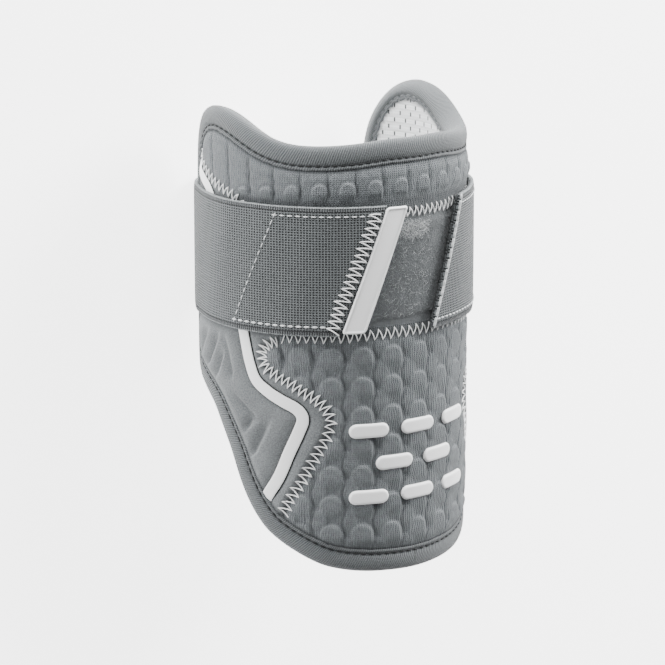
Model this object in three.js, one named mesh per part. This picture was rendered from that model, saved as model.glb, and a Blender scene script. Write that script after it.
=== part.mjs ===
// Elbow guard for a batter: a padded shell round the front and sides of the elbow, closed by one strap.
// X runs across the arm, Y along the arm towards the shoulder, and Z up through the front of the guard.
// The guard lies on the flat back stretch of its strap, at Z = 0.
import * as THREE from 'three';

// Driving sizes, in millimetres and degrees

const hollowRadius = 43.4;
const liningThickness = 1.0;
const coreThickness = 5.2;
const facingThickness = 1.4;
const hookThickness = 0.8;
const strapThickness = 1.8;
const seatGap = 0.3;
const facetClearance = 0.25;

const wrapHalfAngle = 127.5;
const noseReach = 82.5;
const lobeReach = 92.8;
const backDepth = 36.5;
const strapBendRadius = 10;

const bindingThickness = 1.0;
const bindingFold = 1.4;
const bindingOuterLeg = 7.8;
const bindingInnerLeg = 6.0;

const strapBase = 10.3;
const strapWidth = 49.4;
const strapLeftEnd = { base: -35.4, top: -16.6 };
const strapRightEnd = { base: 6.6, top: 25.6 };
const tabWidth = 8.3;
const tabThickness = 1.6;
const hookLength = 30;

const domeHeight = 1.0;
const domeAcross = 11.3;
const domeAlong = 11.5;
const upperDomeAcross = 10.5;
const wingPuff = 0.3;
const stripeWidth = 4.6;
const stripeThickness = 0.5;

const barLength = 15;
const barWidth = 5.6;
const barThickness = 0.9;
const barPitchAcross = 20;
const barPitchAlong = 13;
const barFieldCentre = -40;

// Radii that follow from the layers, from the arm outwards

const liningOuter = hollowRadius + liningThickness;
const coreInner = liningOuter + seatGap;
const coreOuter = coreInner + coreThickness;
const tapeInner = coreOuter + seatGap;
const facingInner = tapeInner + facetClearance;
const facingOuter = facingInner + facingThickness;
const hookInner = facingOuter + seatGap;
const hookOuter = hookInner + hookThickness;
const strapInner = hookOuter + seatGap;
const strapOuter = strapInner + strapThickness;
const bindingOuter = tapeInner + bindingThickness;
const strapTop = strapBase + strapWidth;
const midLength = (lobeReach - noseReach) / 2;

// Rim, as shares of the half wrap angle and of the nose's or the lobes' reach, from the nose round to the top

const rimTable = [
  { turn: 0, nose: -1 },
  { turn: 0.118, nose: -0.995 },
  { turn: 0.196, nose: -0.988 },
  { turn: 0.275, nose: -0.973 },
  { turn: 0.33, nose: -0.955 },
  { turn: 0.376, nose: -0.93 },
  { turn: 0.435, nose: -0.889 },
  { turn: 0.483, nose: -0.851 },
  { turn: 0.53, nose: -0.805 },
  { turn: 0.569, nose: -0.747 },
  { turn: 0.604, nose: -0.679 },
  { turn: 0.635, nose: -0.601 },
  { turn: 0.682, nose: -0.461 },
  { turn: 0.729, nose: -0.36 },
  { turn: 0.784, nose: -0.27 },
  { turn: 0.863, nose: -0.21 },
  { turn: 0.925, nose: -0.176 },
  { turn: 0.968, nose: -0.127 },
  { turn: 0.992, nose: -0.048 },
  { turn: 1, nose: 0.07 },
  { turn: 1, lobe: 0.35 },
  { turn: 1, lobe: 0.6 },
  { turn: 0.988, lobe: 0.733 },
  { turn: 0.965, lobe: 0.824 },
  { turn: 0.925, lobe: 0.903 },
  { turn: 0.878, lobe: 0.957 },
  { turn: 0.831, lobe: 0.986 },
  { turn: 0.769, lobe: 1 },
  { turn: 0.706, lobe: 0.991 },
  { turn: 0.643, lobe: 0.97 },
  { turn: 0.58, lobe: 0.941 },
  { turn: 0.518, lobe: 0.915 },
  { turn: 0.439, lobe: 0.898 },
  { turn: 0.353, lobe: 0.894 },
  { turn: 0.235, lobe: 0.901 },
  { turn: 0.118, lobe: 0.914 },
  { turn: 0, lobe: 0.915 },
];

// Seam between each side panel and the middle panels, from the nose up to the lobe

const seamTable = [
  { turn: 0.467, nose: -0.733 },
  { turn: 0.437, nose: -0.648 },
  { turn: 0.406, nose: -0.578 },
  { turn: 0.373, nose: -0.495 },
  { turn: 0.34, nose: -0.412 },
  { turn: 0.3145, nose: -0.345 },
  { turn: 0.305, nose: -0.298 },
  { turn: 0.308, nose: -0.251 },
  { turn: 0.328, nose: -0.2085 },
  { turn: 0.354, nose: -0.176 },
  { turn: 0.396, nose: -0.1455 },
  { turn: 0.439, nose: -0.108 },
  { turn: 0.481, nose: -0.08 },
  { turn: 0.516, nose: -0.057 },
  { turn: 0.539, nose: -0.018 },
  { turn: 0.538, nose: 0.029 },
  { turn: 0.516, nose: 0.07 },
  { turn: 0.478, nose: 0.1 },
  { turn: 0.51, lobe: 0.28 },
  { turn: 0.57, lobe: 0.46 },
  { turn: 0.63, lobe: 0.634 },
  { turn: 0.698, lobe: 0.668 },
  { turn: 0.742, lobe: 0.687 },
  { turn: 0.784, lobe: 0.706 },
  { turn: 0.837, lobe: 0.738 },
  { turn: 0.872, lobe: 0.778 },
  { turn: 0.888, lobe: 0.85 },
];

// Middle line of the pale stripe on each side panel, from the nose end up to the lobe

const stripeTable = [
  { turn: 0.5, nose: -0.585 },
  { turn: 0.482, nose: -0.56 },
  { turn: 0.444, nose: -0.436 },
  { turn: 0.411, nose: -0.333 },
  { turn: 0.398, nose: -0.281 },
  { turn: 0.402, nose: -0.251 },
  { turn: 0.422, nose: -0.223 },
  { turn: 0.467, nose: -0.194 },
  { turn: 0.521, nose: -0.155 },
  { turn: 0.565, nose: -0.109 },
  { turn: 0.591, nose: -0.028 },
  { turn: 0.614, nose: 0.099 },
  { turn: 0.655, lobe: 0.3 },
  { turn: 0.73, lobe: 0.52 },
  { turn: 0.8, lobe: 0.652 },
  { turn: 0.876, lobe: 0.706 },
];

// Pressed folds in each side panel, as the two ends of each fold's floor

const foldTable = [
  { turnA: 0.809, noseA: 0.079, turnB: 0.868, noseB: -0.057 },
  { turnA: 0.726, noseA: 0.082, turnB: 0.8, noseB: -0.082 },
  { turnA: 0.694, noseA: 0.091, turnB: 0.66, noseB: -0.11 },
  { turnA: 0.685, noseA: -0.171, turnB: 0.595, noseB: -0.336 },
  { turnA: 0.506, noseA: -0.274, turnB: 0.569, noseB: -0.463 },
];
const foldDepth = 0.8;
const foldHalfWidth = 2.6;

// Mesh steps

const columnStep = 4;
const wingRowStep = 4.2;
const wingColumns = 9;
const wingInnerColumns = 7;
const lowerInnerColumns = 16;
const stripeStations = 30;
const domeCellsAcross = 4;
const domeCellsAlong = 3;
const noseRowShares = [0.25, 0.55];
const slantRows = 6;
const strapRows = 3;
const strapArcCells = 17;
const strapBendCells = 4;
const barColumns = 9;
const stationLength = 8;
const stationTurn = 13;

// Unrolled coordinates: across is the arc length at the core's outer face, along is the height on the arm

const toAcross = (angle) => THREE.MathUtils.degToRad(angle) * coreOuter;
const toAngle = (across) => THREE.MathUtils.radToDeg(across / coreOuter);
const alongOf = (row) => (row.nose === undefined ? row.lobe * lobeReach : row.nose * noseReach);

function place(angle, along, radius) {
  const turn = THREE.MathUtils.degToRad(angle);
  return new THREE.Vector3(
    radius * Math.sin(turn),
    along - midLength,
    backDepth + radius * Math.cos(turn),
  );
}

function smooth(edge0, edge1, value) {
  return THREE.MathUtils.smoothstep(value, edge0, edge1);
}

function curvePoints(points, closed, count) {
  const curve = new THREE.CatmullRomCurve3(points, closed, 'centripetal');
  return curve.getPoints(count).map((p) => ({ across: p.x, along: p.y }));
}

function tablePoints(table, side) {
  return table.map((row) => new THREE.Vector3(side * toAcross(row.turn * wrapHalfAngle), alongOf(row), 0));
}

// Rim curve, closed and counterclockwise, with the direction that points into the guard

const rim = makeRim();

function makeRim() {
  const right = tablePoints(rimTable, 1);
  const left = tablePoints(rimTable, -1).slice(1, -1).reverse();
  const points = curvePoints([...right, ...left], true, 720).slice(0, -1);
  return points.map((point, i) => {
    const before = points[(i + points.length - 1) % points.length];
    const after = points[(i + 1) % points.length];
    const stepAcross = after.across - before.across;
    const stepAlong = after.along - before.along;
    const length = Math.hypot(stepAcross, stepAlong);
    return { ...point, inAcross: -stepAlong / length, inAlong: stepAcross / length };
  });
}

function insetRim(depth) {
  return rim.map((p) => ({ across: p.across + p.inAcross * depth, along: p.along + p.inAlong * depth }));
}

function crossings(loop, axis, other, value) {
  const found = [];
  for (let i = 0; i < loop.length; i += 1) {
    const a = loop[i];
    const b = loop[(i + 1) % loop.length];
    if ((a[axis] - value) * (b[axis] - value) <= 0 && a[axis] !== b[axis]) {
      const share = (value - a[axis]) / (b[axis] - a[axis]);
      found.push(a[other] + share * (b[other] - a[other]));
    }
  }
  return found;
}

function rimDistance(across, along) {
  let nearest = Infinity;
  for (const p of rim) {
    nearest = Math.min(nearest, Math.hypot(p.across - across, p.along - along));
  }
  return nearest;
}

// Seam curve on the right side, rising from the nose to the lobe

const seam = curvePoints(tablePoints(seamTable, 1), false, 260);
const seamBottom = seam[0].along;

function seamAcross(along) {
  for (let i = 1; i < seam.length; i += 1) {
    if (seam[i].along >= along) {
      const span = seam[i].along - seam[i - 1].along;
      const share = span > 0 ? (along - seam[i - 1].along) / span : 0;
      return seam[i - 1].across + Math.max(share, 0) * (seam[i].across - seam[i - 1].across);
    }
  }
  return seam[seam.length - 1].across;
}

function upperSeamAlong(across) {
  const upper = seam.filter((p) => p.along > strapBase);
  for (let i = 1; i < upper.length; i += 1) {
    if (upper[i].across >= across) {
      const share = (across - upper[i - 1].across) / (upper[i].across - upper[i - 1].across);
      return upper[i - 1].along + Math.max(share, 0) * (upper[i].along - upper[i - 1].along);
    }
  }
  return upper[upper.length - 1].along;
}

// Closed shells between an outer and an inner set of lines of nodes

function zip(first, second, face) {
  let i = 0;
  let j = 0;
  while (i < first.length - 1 || j < second.length - 1) {
    const nextFirst = i < first.length - 1 ? first[i + 1].key : Infinity;
    const nextSecond = j < second.length - 1 ? second[j + 1].key : Infinity;
    if (nextFirst <= nextSecond) {
      face(first[i].id, second[j].id, first[i + 1].id);
      i += 1;
    } else {
      face(first[i].id, second[j].id, second[j + 1].id);
      j += 1;
    }
  }
}

function shell(outerLines, innerLines) {
  const positions = [];
  const triangles = [];
  const number = (line) => line.nodes.map((node) => {
    positions.push(node.point.x, node.point.y, node.point.z);
    return { id: positions.length / 3 - 1, key: node.key };
  });
  const outer = outerLines.map(number);
  const inner = innerLines.map(number);
  const front = (a, b, c) => triangles.push(a, b, c);
  const back = (a, b, c) => triangles.push(a, c, b);
  for (let k = 0; k < outer.length - 1; k += 1) {
    zip(outer[k], outer[k + 1], front);
  }
  for (let k = 0; k < inner.length - 1; k += 1) {
    zip(inner[k], inner[k + 1], back);
  }
  zip(outer[0], inner[0], back);
  zip(outer.at(-1), inner.at(-1), front);
  const chain = (lines, numbered, pick) => numbered.map((line, k) => ({ id: pick(line).id, key: lines[k].at }));
  const start = (line) => line[0];
  const end = (line) => line.at(-1);
  zip(chain(outerLines, outer, start), chain(innerLines, inner, start), front);
  zip(chain(outerLines, outer, end), chain(innerLines, inner, end), back);
  return geometryOf(positions, triangles);
}

function geometryOf(positions, triangles) {
  const geometry = new THREE.BufferGeometry();
  geometry.setAttribute('position', new THREE.Float32BufferAttribute(positions, 3));
  geometry.setIndex(signedVolume(positions, triangles) < 0 ? turned(triangles) : triangles);
  return geometry;
}

function turned(triangles) {
  const result = [];
  for (let i = 0; i < triangles.length; i += 3) {
    result.push(triangles[i], triangles[i + 2], triangles[i + 1]);
  }
  return result;
}

function signedVolume(positions, triangles) {
  const corner = (i) => new THREE.Vector3(positions[3 * i], positions[3 * i + 1], positions[3 * i + 2]);
  let volume = 0;
  for (let i = 0; i < triangles.length; i += 3) {
    const [a, b, c] = [corner(triangles[i]), corner(triangles[i + 1]), corner(triangles[i + 2])];
    volume += a.dot(b.cross(c)) / 6;
  }
  return volume;
}

function column(across, alongs, radiusOf) {
  const nodes = alongs.map((along) => ({
    key: along,
    point: place(toAngle(across), along, radiusOf(across, along)),
  }));
  return { at: across, nodes };
}

function row(along, acrosses, radiusOf) {
  const nodes = acrosses.map((across) => ({
    key: across,
    point: place(toAngle(across), along, radiusOf(across, along)),
  }));
  return { at: -along, nodes };
}

// Values on a lattice strictly between two ends, with the ends added

function between(low, high, step, phase) {
  const values = [low];
  const margin = step * 0.3;
  for (let k = Math.ceil((low + margin - phase) / step); phase + k * step < high - margin; k += 1) {
    values.push(phase + k * step);
  }
  values.push(high);
  return values;
}

function even(low, high, cells) {
  return Array.from({ length: cells + 1 }, (_, i) => low + ((high - low) * i) / cells);
}

// Foam core and lining: plain curved sheets cut to the rim

function rimSheet(depth, innerRadius, outerRadius) {
  const loop = insetRim(depth);
  const reach = Math.max(...loop.map((p) => p.across));
  const endMargins = [0.15, 1, 2.4, 4.4];
  const middle = even(-reach + 7, reach - 7, Math.round((2 * reach) / toAcross(columnStep)));
  const acrosses = [
    ...endMargins.map((m) => -reach + m),
    ...middle,
    ...endMargins.map((m) => reach - m).reverse(),
  ];
  const line = (radius) => (across) => {
    const found = crossings(loop, 'across', 'along', across);
    return column(across, [Math.min(...found), Math.max(...found)], () => radius);
  };
  return shell(acrosses.map(line(outerRadius)), acrosses.map(line(innerRadius)));
}

// Folded tape round the rim, a channel swept along it

function bindingGeometry() {
  const throat = bindingFold;
  const section = [
    { depth: bindingOuterLeg, radius: bindingOuter },
    { depth: 2.2, radius: bindingOuter },
    { depth: 0.7, radius: bindingOuter - 0.7 },
    { depth: 0, radius: bindingOuter - 2.2 },
    { depth: 0, radius: hollowRadius + 2.2 },
    { depth: 0.7, radius: hollowRadius + 0.7 },
    { depth: 2.2, radius: hollowRadius },
    { depth: bindingInnerLeg, radius: hollowRadius },
    { depth: bindingInnerLeg, radius: liningOuter },
    { depth: throat, radius: liningOuter },
    { depth: throat, radius: tapeInner },
    { depth: bindingOuterLeg, radius: tapeInner },
  ];
  const stations = rimStations();
  const positions = [];
  for (const p of stations) {
    for (const corner of section) {
      const across = p.across + p.inAcross * corner.depth;
      const along = p.along + p.inAlong * corner.depth;
      positions.push(...place(toAngle(across), along, corner.radius).toArray());
    }
  }
  const triangles = [];
  const sides = section.length;
  for (let i = 0; i < stations.length; i += 1) {
    const next = (i + 1) % stations.length;
    for (let j = 0; j < sides; j += 1) {
      const k = (j + 1) % sides;
      triangles.push(i * sides + j, next * sides + j, next * sides + k);
      triangles.push(i * sides + j, next * sides + k, i * sides + k);
    }
  }
  return geometryOf(positions, triangles);
}

function rimStations() {
  const stations = [rim[0]];
  for (const p of rim) {
    const last = stations.at(-1);
    const length = Math.hypot(p.across - last.across, p.along - last.along);
    const cosine = p.inAcross * last.inAcross + p.inAlong * last.inAlong;
    const turn = THREE.MathUtils.radToDeg(Math.acos(Math.min(1, cosine)));
    if (length >= stationLength || turn >= stationTurn) {
      stations.push(p);
    }
  }
  const first = stations[0];
  const last = stations.at(-1);
  if (Math.hypot(first.across - last.across, first.along - last.along) < stationLength / 3) {
    stations.pop();
  }
  return stations;
}

// Facing panels: thin where the tape holds them down or the strap presses, fuller between

const facingDepth = bindingOuterLeg + seatGap;
const heldThickness = 0.8;
const edgeRoll = 7;
const pressMargin = 2;
const pressRoll = 5;

function fullness(across, along) {
  const fromTape = smooth(facingDepth, facingDepth + edgeRoll, rimDistance(across, along));
  const below = smooth(pressMargin, pressMargin + pressRoll, strapBase - along);
  const above = smooth(pressMargin, pressMargin + pressRoll, along - strapTop);
  return { fromTape, fromStrap: Math.max(below, above) };
}

function dome(across, along, pitchAcross, pitchAlong, shift) {
  const wave = (value, pitch) => value - pitch * Math.round(value / pitch);
  const u = wave(across - shift.across, pitchAcross) / (0.5 * pitchAcross);
  const v = wave(along - shift.along, pitchAlong) / (0.5 * pitchAlong);
  return 1 - smooth(0.35, 1.1, Math.hypot(u, v));
}

function quilt(across, along, pitchAcross, phase) {
  const high = dome(across, along, pitchAcross, domeAlong, phase);
  const offset = { across: phase.across - pitchAcross / 2, along: phase.along - domeAlong / 2 };
  return Math.max(high, 0.8 * dome(across, along, pitchAcross, domeAlong, offset));
}

function quiltRadius(pitchAcross, phase) {
  return (across, along) => {
    const full = fullness(across, along);
    const base = facingInner + heldThickness + (facingThickness - heldThickness) * full.fromTape;
    return base + domeHeight * full.fromTape * full.fromStrap * quilt(across, along, pitchAcross, phase);
  };
}

const lowerPhase = { across: 0, along: 2.6 };
const upperPhase = { across: 0.27 * upperDomeAcross, along: strapTop + 8 };

function loopTop(across) {
  return strapTop - 4 + 3 * (across / toAcross(80)) ** 2;
}

function lowerPanelGeometry() {
  const loop = insetRim(facingDepth);
  const top = strapBase - 1;
  const bottom = Math.min(...loop.map((p) => p.along)) + 0.6;
  const reachAt = (along) => {
    const bySeam = along > seamBottom ? seamAcross(Math.min(along, 0.1 * noseReach)) - seatGap / 2 : Infinity;
    return Math.min(bySeam, Math.max(...crossings(loop, 'along', 'across', along)));
  };
  const lattice = between(bottom, top, domeAlong / domeCellsAlong, lowerPhase.along);
  const noseRows = noseRowShares.map((share) => bottom + share * (lattice[1] - bottom));
  const alongs = [bottom, ...noseRows, ...lattice.slice(1)].reverse();
  const radiusOf = quiltRadius(domeAcross, lowerPhase);
  const cell = domeAcross / domeCellsAcross;
  const outer = alongs.map((y) => row(y, between(-reachAt(y), reachAt(y), cell, lowerPhase.across), radiusOf));
  const inner = alongs.map((y) => row(y, even(-reachAt(y), reachAt(y), lowerInnerColumns), () => facingInner));
  return shell(outer, inner);
}

function upperPanelGeometry() {
  const loop = insetRim(facingDepth);
  const end = seam.at(-1).across - 1.2;
  const join = toAcross(seamTable[20].turn * wrapHalfAngle);
  const lowAt = (across) => {
    const reach = Math.abs(across);
    return (reach < join ? loopTop(reach) : upperSeamAlong(reach)) + seatGap / 2;
  };
  const highAt = (across) => Math.max(...crossings(loop, 'across', 'along', across));
  const cell = upperDomeAcross / domeCellsAcross;
  const acrosses = between(-end, end, cell, upperPhase.across);
  const radiusOf = quiltRadius(upperDomeAcross, upperPhase);
  const step = domeAlong / domeCellsAlong;
  const outer = acrosses.map((x) => column(x, between(lowAt(x), highAt(x), step, upperPhase.along), radiusOf));
  const inner = acrosses.map((x) => column(x, [lowAt(x), highAt(x)], () => facingInner));
  return shell(outer, inner);
}

function loopPanelGeometry() {
  const bottom = strapBase - 1 + seatGap;
  const hidden = seam.filter((p) => p.along > bottom && p.across <= toAcross(80));
  const end = Math.max(...hidden.map((p) => p.across)) - 2;
  const start = seamAcross(bottom) - seatGap;
  const lowAt = (across) => {
    const reach = Math.abs(across);
    return reach <= start ? bottom : upperSeamAlong(reach + seatGap) + seatGap / 2;
  };
  const half = [...even(0, start, 12), ...even(start, end, 5).slice(1)];
  const acrosses = [...half.slice(1).reverse().map((x) => -x), ...half];
  const line = (radius) => (x) => column(x, [lowAt(x), loopTop(x) - seatGap / 2], () => radius);
  return shell(acrosses.map(line(facingOuter)), acrosses.map(line(facingInner)));
}

// Side panels, from the seam round to the tape at the open back

function foldDrop(across, along) {
  let drop = 0;
  for (const fold of foldTable) {
    const a = { x: toAcross(fold.turnA * wrapHalfAngle), y: fold.noseA * noseReach };
    const b = { x: toAcross(fold.turnB * wrapHalfAngle), y: fold.noseB * noseReach };
    const length = Math.hypot(b.x - a.x, b.y - a.y);
    const share = ((across - a.x) * (b.x - a.x) + (along - a.y) * (b.y - a.y)) / length ** 2;
    const t = THREE.MathUtils.clamp(share, 0, 1);
    const distance = Math.hypot(across - a.x - t * (b.x - a.x), along - a.y - t * (b.y - a.y));
    drop = Math.max(drop, foldDepth * (1 - smooth(0, foldHalfWidth, distance)));
  }
  return drop;
}

function wingRadius(across, along) {
  const full = fullness(across, along);
  const base = facingInner + heldThickness + (facingThickness - heldThickness) * full.fromTape;
  return base + full.fromTape * full.fromStrap * (wingPuff - foldDrop(Math.abs(across), along));
}

function wingGeometry(side) {
  const loop = insetRim(facingDepth);
  const bottom = seamBottom + 1.5;
  const top = seam.at(-1).along - 3;
  const rows = (high, low, step) => even(high, low, Math.max(1, Math.round((high - low) / step)));
  const alongs = [
    ...rows(top, strapTop - pressMargin, wingRowStep / 2),
    ...rows(strapTop - pressMargin, strapBase - 1, wingRowStep * 2).slice(1),
    ...between(bottom, strapBase - 1, domeAlong / domeCellsAlong, lowerPhase.along).reverse().slice(1),
  ];
  const line = (cells, radiusOf) => (along) => {
    const near = side * (seamAcross(along) + seatGap / 2);
    const far = side * Math.max(...crossings(loop, 'along', 'across', along));
    return row(along, even(Math.min(near, far), Math.max(near, far), cells), radiusOf);
  };
  return shell(alongs.map(line(wingColumns, wingRadius)), alongs.map(line(wingInnerColumns, () => facingInner)));
}

function stripeGeometry(side) {
  const path = curvePoints(tablePoints(stripeTable, side), false, stripeStations);
  const inner = facingOuter + wingPuff + seatGap;
  const outer = inner + stripeThickness;
  const line = (radius) => (p, i) => {
    const before = path[Math.max(i - 1, 0)];
    const after = path[Math.min(i + 1, path.length - 1)];
    const length = Math.hypot(after.across - before.across, after.along - before.along);
    const offAcross = ((after.along - before.along) / length) * (stripeWidth / 2);
    const offAlong = ((before.across - after.across) / length) * (stripeWidth / 2);
    const nodes = [-1, 1].map((edge) => ({
      key: edge,
      point: place(toAngle(p.across + edge * offAcross), p.along + edge * offAlong, radius),
    }));
    return { at: i, nodes };
  };
  return shell(path.map(line(outer)), path.map(line(inner)));
}

// Strap, its hook patches and its tab

function strapPath() {
  const bendCentre = strapOuter - strapBendRadius;
  const bendFrom = THREE.MathUtils.radToDeg(Math.acos((backDepth - strapBendRadius) / bendCentre));
  const arcEnd = 180 - bendFrom;
  const arcLength = THREE.MathUtils.degToRad(arcEnd) * strapOuter;
  const bendLength = THREE.MathUtils.degToRad(bendFrom) * strapBendRadius;
  const flatHalf = bendCentre * Math.sin(THREE.MathUtils.degToRad(bendFrom));
  const total = arcLength + bendLength + flatHalf;
  const at = (way, along, lift) => {
    const side = Math.sign(way) || 1;
    const length = Math.abs(way);
    if (length <= arcLength) {
      const angle = THREE.MathUtils.radToDeg(length / strapOuter);
      return place(side * angle, along, strapOuter - lift);
    }
    const centre = place(arcEnd, along, bendCentre);
    if (length <= arcLength + bendLength) {
      const turn = THREE.MathUtils.degToRad(arcEnd) + (length - arcLength) / strapBendRadius;
      const radius = strapBendRadius - lift;
      const x = centre.x + radius * Math.sin(turn);
      return new THREE.Vector3(side * x, centre.y, centre.z + radius * Math.cos(turn));
    }
    const x = flatHalf - (length - arcLength - bendLength);
    return new THREE.Vector3(side * x, centre.y, lift);
  };
  return { arcLength, bendLength, total, at };
}

const atEdge = (end, share) => end.base + (end.top - end.base) * share;

function strapGeometry() {
  const path = strapPath();
  const wayOf = (angle) => THREE.MathUtils.degToRad(angle) * strapOuter;
  const line = (lift) => (share) => {
    const left = 2 * path.total + wayOf(atEdge(strapLeftEnd, share));
    const right = wayOf(atEdge(strapRightEnd, share));
    const bend = even(path.arcLength, path.arcLength + path.bendLength, strapBendCells);
    const farBend = [...bend].reverse().map((way) => 2 * path.total - way);
    const ways = [
      ...even(right, path.arcLength, strapArcCells),
      ...bend.slice(1),
      path.total,
      ...farBend,
      ...even(farBend.at(-1), left, strapArcCells).slice(1),
    ];
    const along = strapBase + share * strapWidth;
    const nodes = ways.map((way) => ({
      key: way,
      point: path.at(way <= path.total ? way : way - 2 * path.total, along, lift),
    }));
    return { at: -share, nodes };
  };
  const shares = even(1, 0, strapRows);
  return shell(shares.map(line(0)), shares.map(line(strapThickness)));
}

function slantedPatch(leftOf, rightOf, margin, inner, outer, cells) {
  const shares = even(1 - margin / strapWidth, margin / strapWidth, slantRows);
  const line = (radius) => (share) => row(
    strapBase + share * strapWidth,
    even(toAcross(leftOf(share)), toAcross(rightOf(share)), cells),
    () => radius,
  );
  return shell(shares.map(line(outer)), shares.map(line(inner)));
}

function tabGeometry() {
  const gap = THREE.MathUtils.radToDeg(seatGap / strapOuter);
  const width = THREE.MathUtils.radToDeg(tabWidth / strapOuter);
  const leftOf = (share) => atEdge(strapLeftEnd, share) + gap;
  return slantedPatch(leftOf, (share) => leftOf(share) + width, 1, strapInner, strapInner + tabThickness, 2);
}

function hookGeometry(side) {
  const length = THREE.MathUtils.radToDeg(hookLength / coreOuter);
  const inset = 1.5;
  const end = side < 0 ? strapLeftEnd : strapRightEnd;
  const near = (share) => atEdge(end, share) + side * inset;
  const far = (share) => near(share) + side * length;
  return side < 0
    ? slantedPatch(far, near, 2.5, hookInner, hookOuter, 6)
    : slantedPatch(near, far, 2.5, hookInner, hookOuter, 6);
}

// Raised bars with round ends on the nose

function barGeometry(centre) {
  const inner = facingOuter + domeHeight + seatGap;
  const outer = inner + barThickness;
  const half = barLength / 2;
  const round = barWidth / 2;
  const acrosses = Array.from({ length: barColumns }, (_, i) => -Math.cos((Math.PI * (i + 0.35)) / (barColumns - 0.3)));
  const line = (radius) => (share) => {
    const x = share * half;
    const past = Math.max(Math.abs(x) - (half - round), 0);
    const y = Math.sqrt(Math.max(round ** 2 - past ** 2, 0));
    return column(centre.across + x, [centre.along - y, centre.along + y], () => radius);
  };
  return shell(acrosses.map(line(outer)), acrosses.map(line(inner)));
}

function barCentres() {
  const rows = [3, 2, 3];
  return rows.flatMap((count, i) => even(-(count - 1) / 2, (count - 1) / 2, count - 1).map((k) => ({
    across: k * barPitchAcross,
    along: barFieldCentre + (1 - i) * barPitchAlong,
  })));
}

// Materials

const finish = (color, roughness) => new THREE.MeshStandardMaterial({ color, roughness, metalness: 0 });
const knit = finish(0x757b7e, 0.9);
const smoothCloth = finish(0x9a9fa1, 0.85);
const tape = finish(0x7c8285, 0.85);
const elastic = finish(0x777c7f, 0.85);
const brushed = finish(0x83888a, 0.95);
const foam = finish(0x5c6063, 0.95);
const mesh = finish(0xe4e6e6, 0.8);
const pale = finish(0xdcdedd, 0.5);
const hook = finish(0x4a4d4f, 0.9);

// Assembly

const guard = new THREE.Group();
guard.name = 'elbow_guard';

function add(name, geometry, material) {
  const piece = new THREE.Mesh(geometry, material);
  piece.name = name;
  guard.add(piece);
}

const coreDepth = bindingFold + seatGap;
add('pad_core', rimSheet(coreDepth, coreInner, coreOuter), foam);
add('lining', rimSheet(bindingInnerLeg + seatGap, hollowRadius, liningOuter), mesh);
add('edge_binding', bindingGeometry(), tape);
add('scale_panel_upper', upperPanelGeometry(), knit);
add('scale_panel_lower', lowerPanelGeometry(), knit);
add('loop_panel', loopPanelGeometry(), brushed);
for (const [name, side] of [['left', -1], ['right', 1]]) {
  add(`wing_panel_${name}`, wingGeometry(side), smoothCloth);
  add(`accent_stripe_${name}`, stripeGeometry(side), pale);
  add(`hook_patch_${name}`, hookGeometry(side), hook);
}
add('strap', strapGeometry(), elastic);
add('pull_tab', tabGeometry(), pale);
barCentres().forEach((centre, i) => add(`front_bar_${i + 1}`, barGeometry(centre), pale));

export default guard;
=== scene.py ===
import math
from functools import reduce

import bpy
import numpy as np
from mathutils import Matrix, Vector


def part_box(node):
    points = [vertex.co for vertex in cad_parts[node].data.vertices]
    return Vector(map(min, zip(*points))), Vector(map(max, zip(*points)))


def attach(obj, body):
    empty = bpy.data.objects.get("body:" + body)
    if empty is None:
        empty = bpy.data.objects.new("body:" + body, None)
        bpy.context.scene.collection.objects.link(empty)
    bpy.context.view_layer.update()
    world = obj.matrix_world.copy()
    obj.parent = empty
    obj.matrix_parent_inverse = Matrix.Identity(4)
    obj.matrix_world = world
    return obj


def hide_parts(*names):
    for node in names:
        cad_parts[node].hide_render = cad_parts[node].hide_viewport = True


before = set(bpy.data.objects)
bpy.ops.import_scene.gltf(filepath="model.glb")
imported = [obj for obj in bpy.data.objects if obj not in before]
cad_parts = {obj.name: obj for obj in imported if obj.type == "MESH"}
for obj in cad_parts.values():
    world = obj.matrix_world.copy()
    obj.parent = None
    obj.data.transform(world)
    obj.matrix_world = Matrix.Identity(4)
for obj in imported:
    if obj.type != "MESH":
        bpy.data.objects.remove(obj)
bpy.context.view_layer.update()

# Sizes read from the frame, in millimetres

MM = 0.001


def node_box(node):
    low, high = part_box(node)
    return np.array(low) / MM, np.array(high) / MM


CORE_RADIUS = float(node_box("pad_core")[1][0])
LINING_RADIUS = float(node_box("lining")[1][0])
TAPE_RADIUS = float(node_box("edge_binding")[1][0])
STRAP_RADIUS = float(node_box("strap")[1][0])
AXIS_HEIGHT = float(node_box("pad_core")[1][2]) - CORE_RADIUS

# Sizes shared with the solids, in millimetres and degrees

WRAP_HALF_ANGLE = 127.5
NOSE_REACH = 82.5
LOBE_REACH = 92.8
MID_LENGTH = (LOBE_REACH - NOSE_REACH) / 2
LINING_THICKNESS = 1.0
CORE_THICKNESS = 5.2
FACING_THICKNESS = 1.4
STRAP_THICKNESS = 1.8
STRAP_BEND_RADIUS = 10.0
STRAP_BASE = float(node_box("strap")[0][1]) + MID_LENGTH
STRAP_TOP = float(node_box("strap")[1][1]) + MID_LENGTH
STRAP_WIDTH = STRAP_TOP - STRAP_BASE
STRAP_LEFT_END = (-35.4, -16.6)
TAB_WIDTH = 8.3
STRIPE_WIDTH = 4.6
TAPE_OUTER_LEG = 7.8
TAPE_INNER_LEG = 6.0
FACING_GAP = 0.55
FACING_RADIUS = CORE_RADIUS + FACING_GAP + FACING_THICKNESS

# The scene's own: its strap ends a little further left than the solid's at the right, and its rim is let out
# at the lower sides and slid down at the front

STRAP_RIGHT_END = (4.4, 21.8)
SIDE_EASE = 1.4
FRONT_SLIDE = 1.4

# Outlines in the flat layout, from the nose up. A point is a share of the half wrap angle across and, along,
# of the nose's or the lobe's reach. The rim is the solids'. Seam and stripe run on further under the tape.

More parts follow.
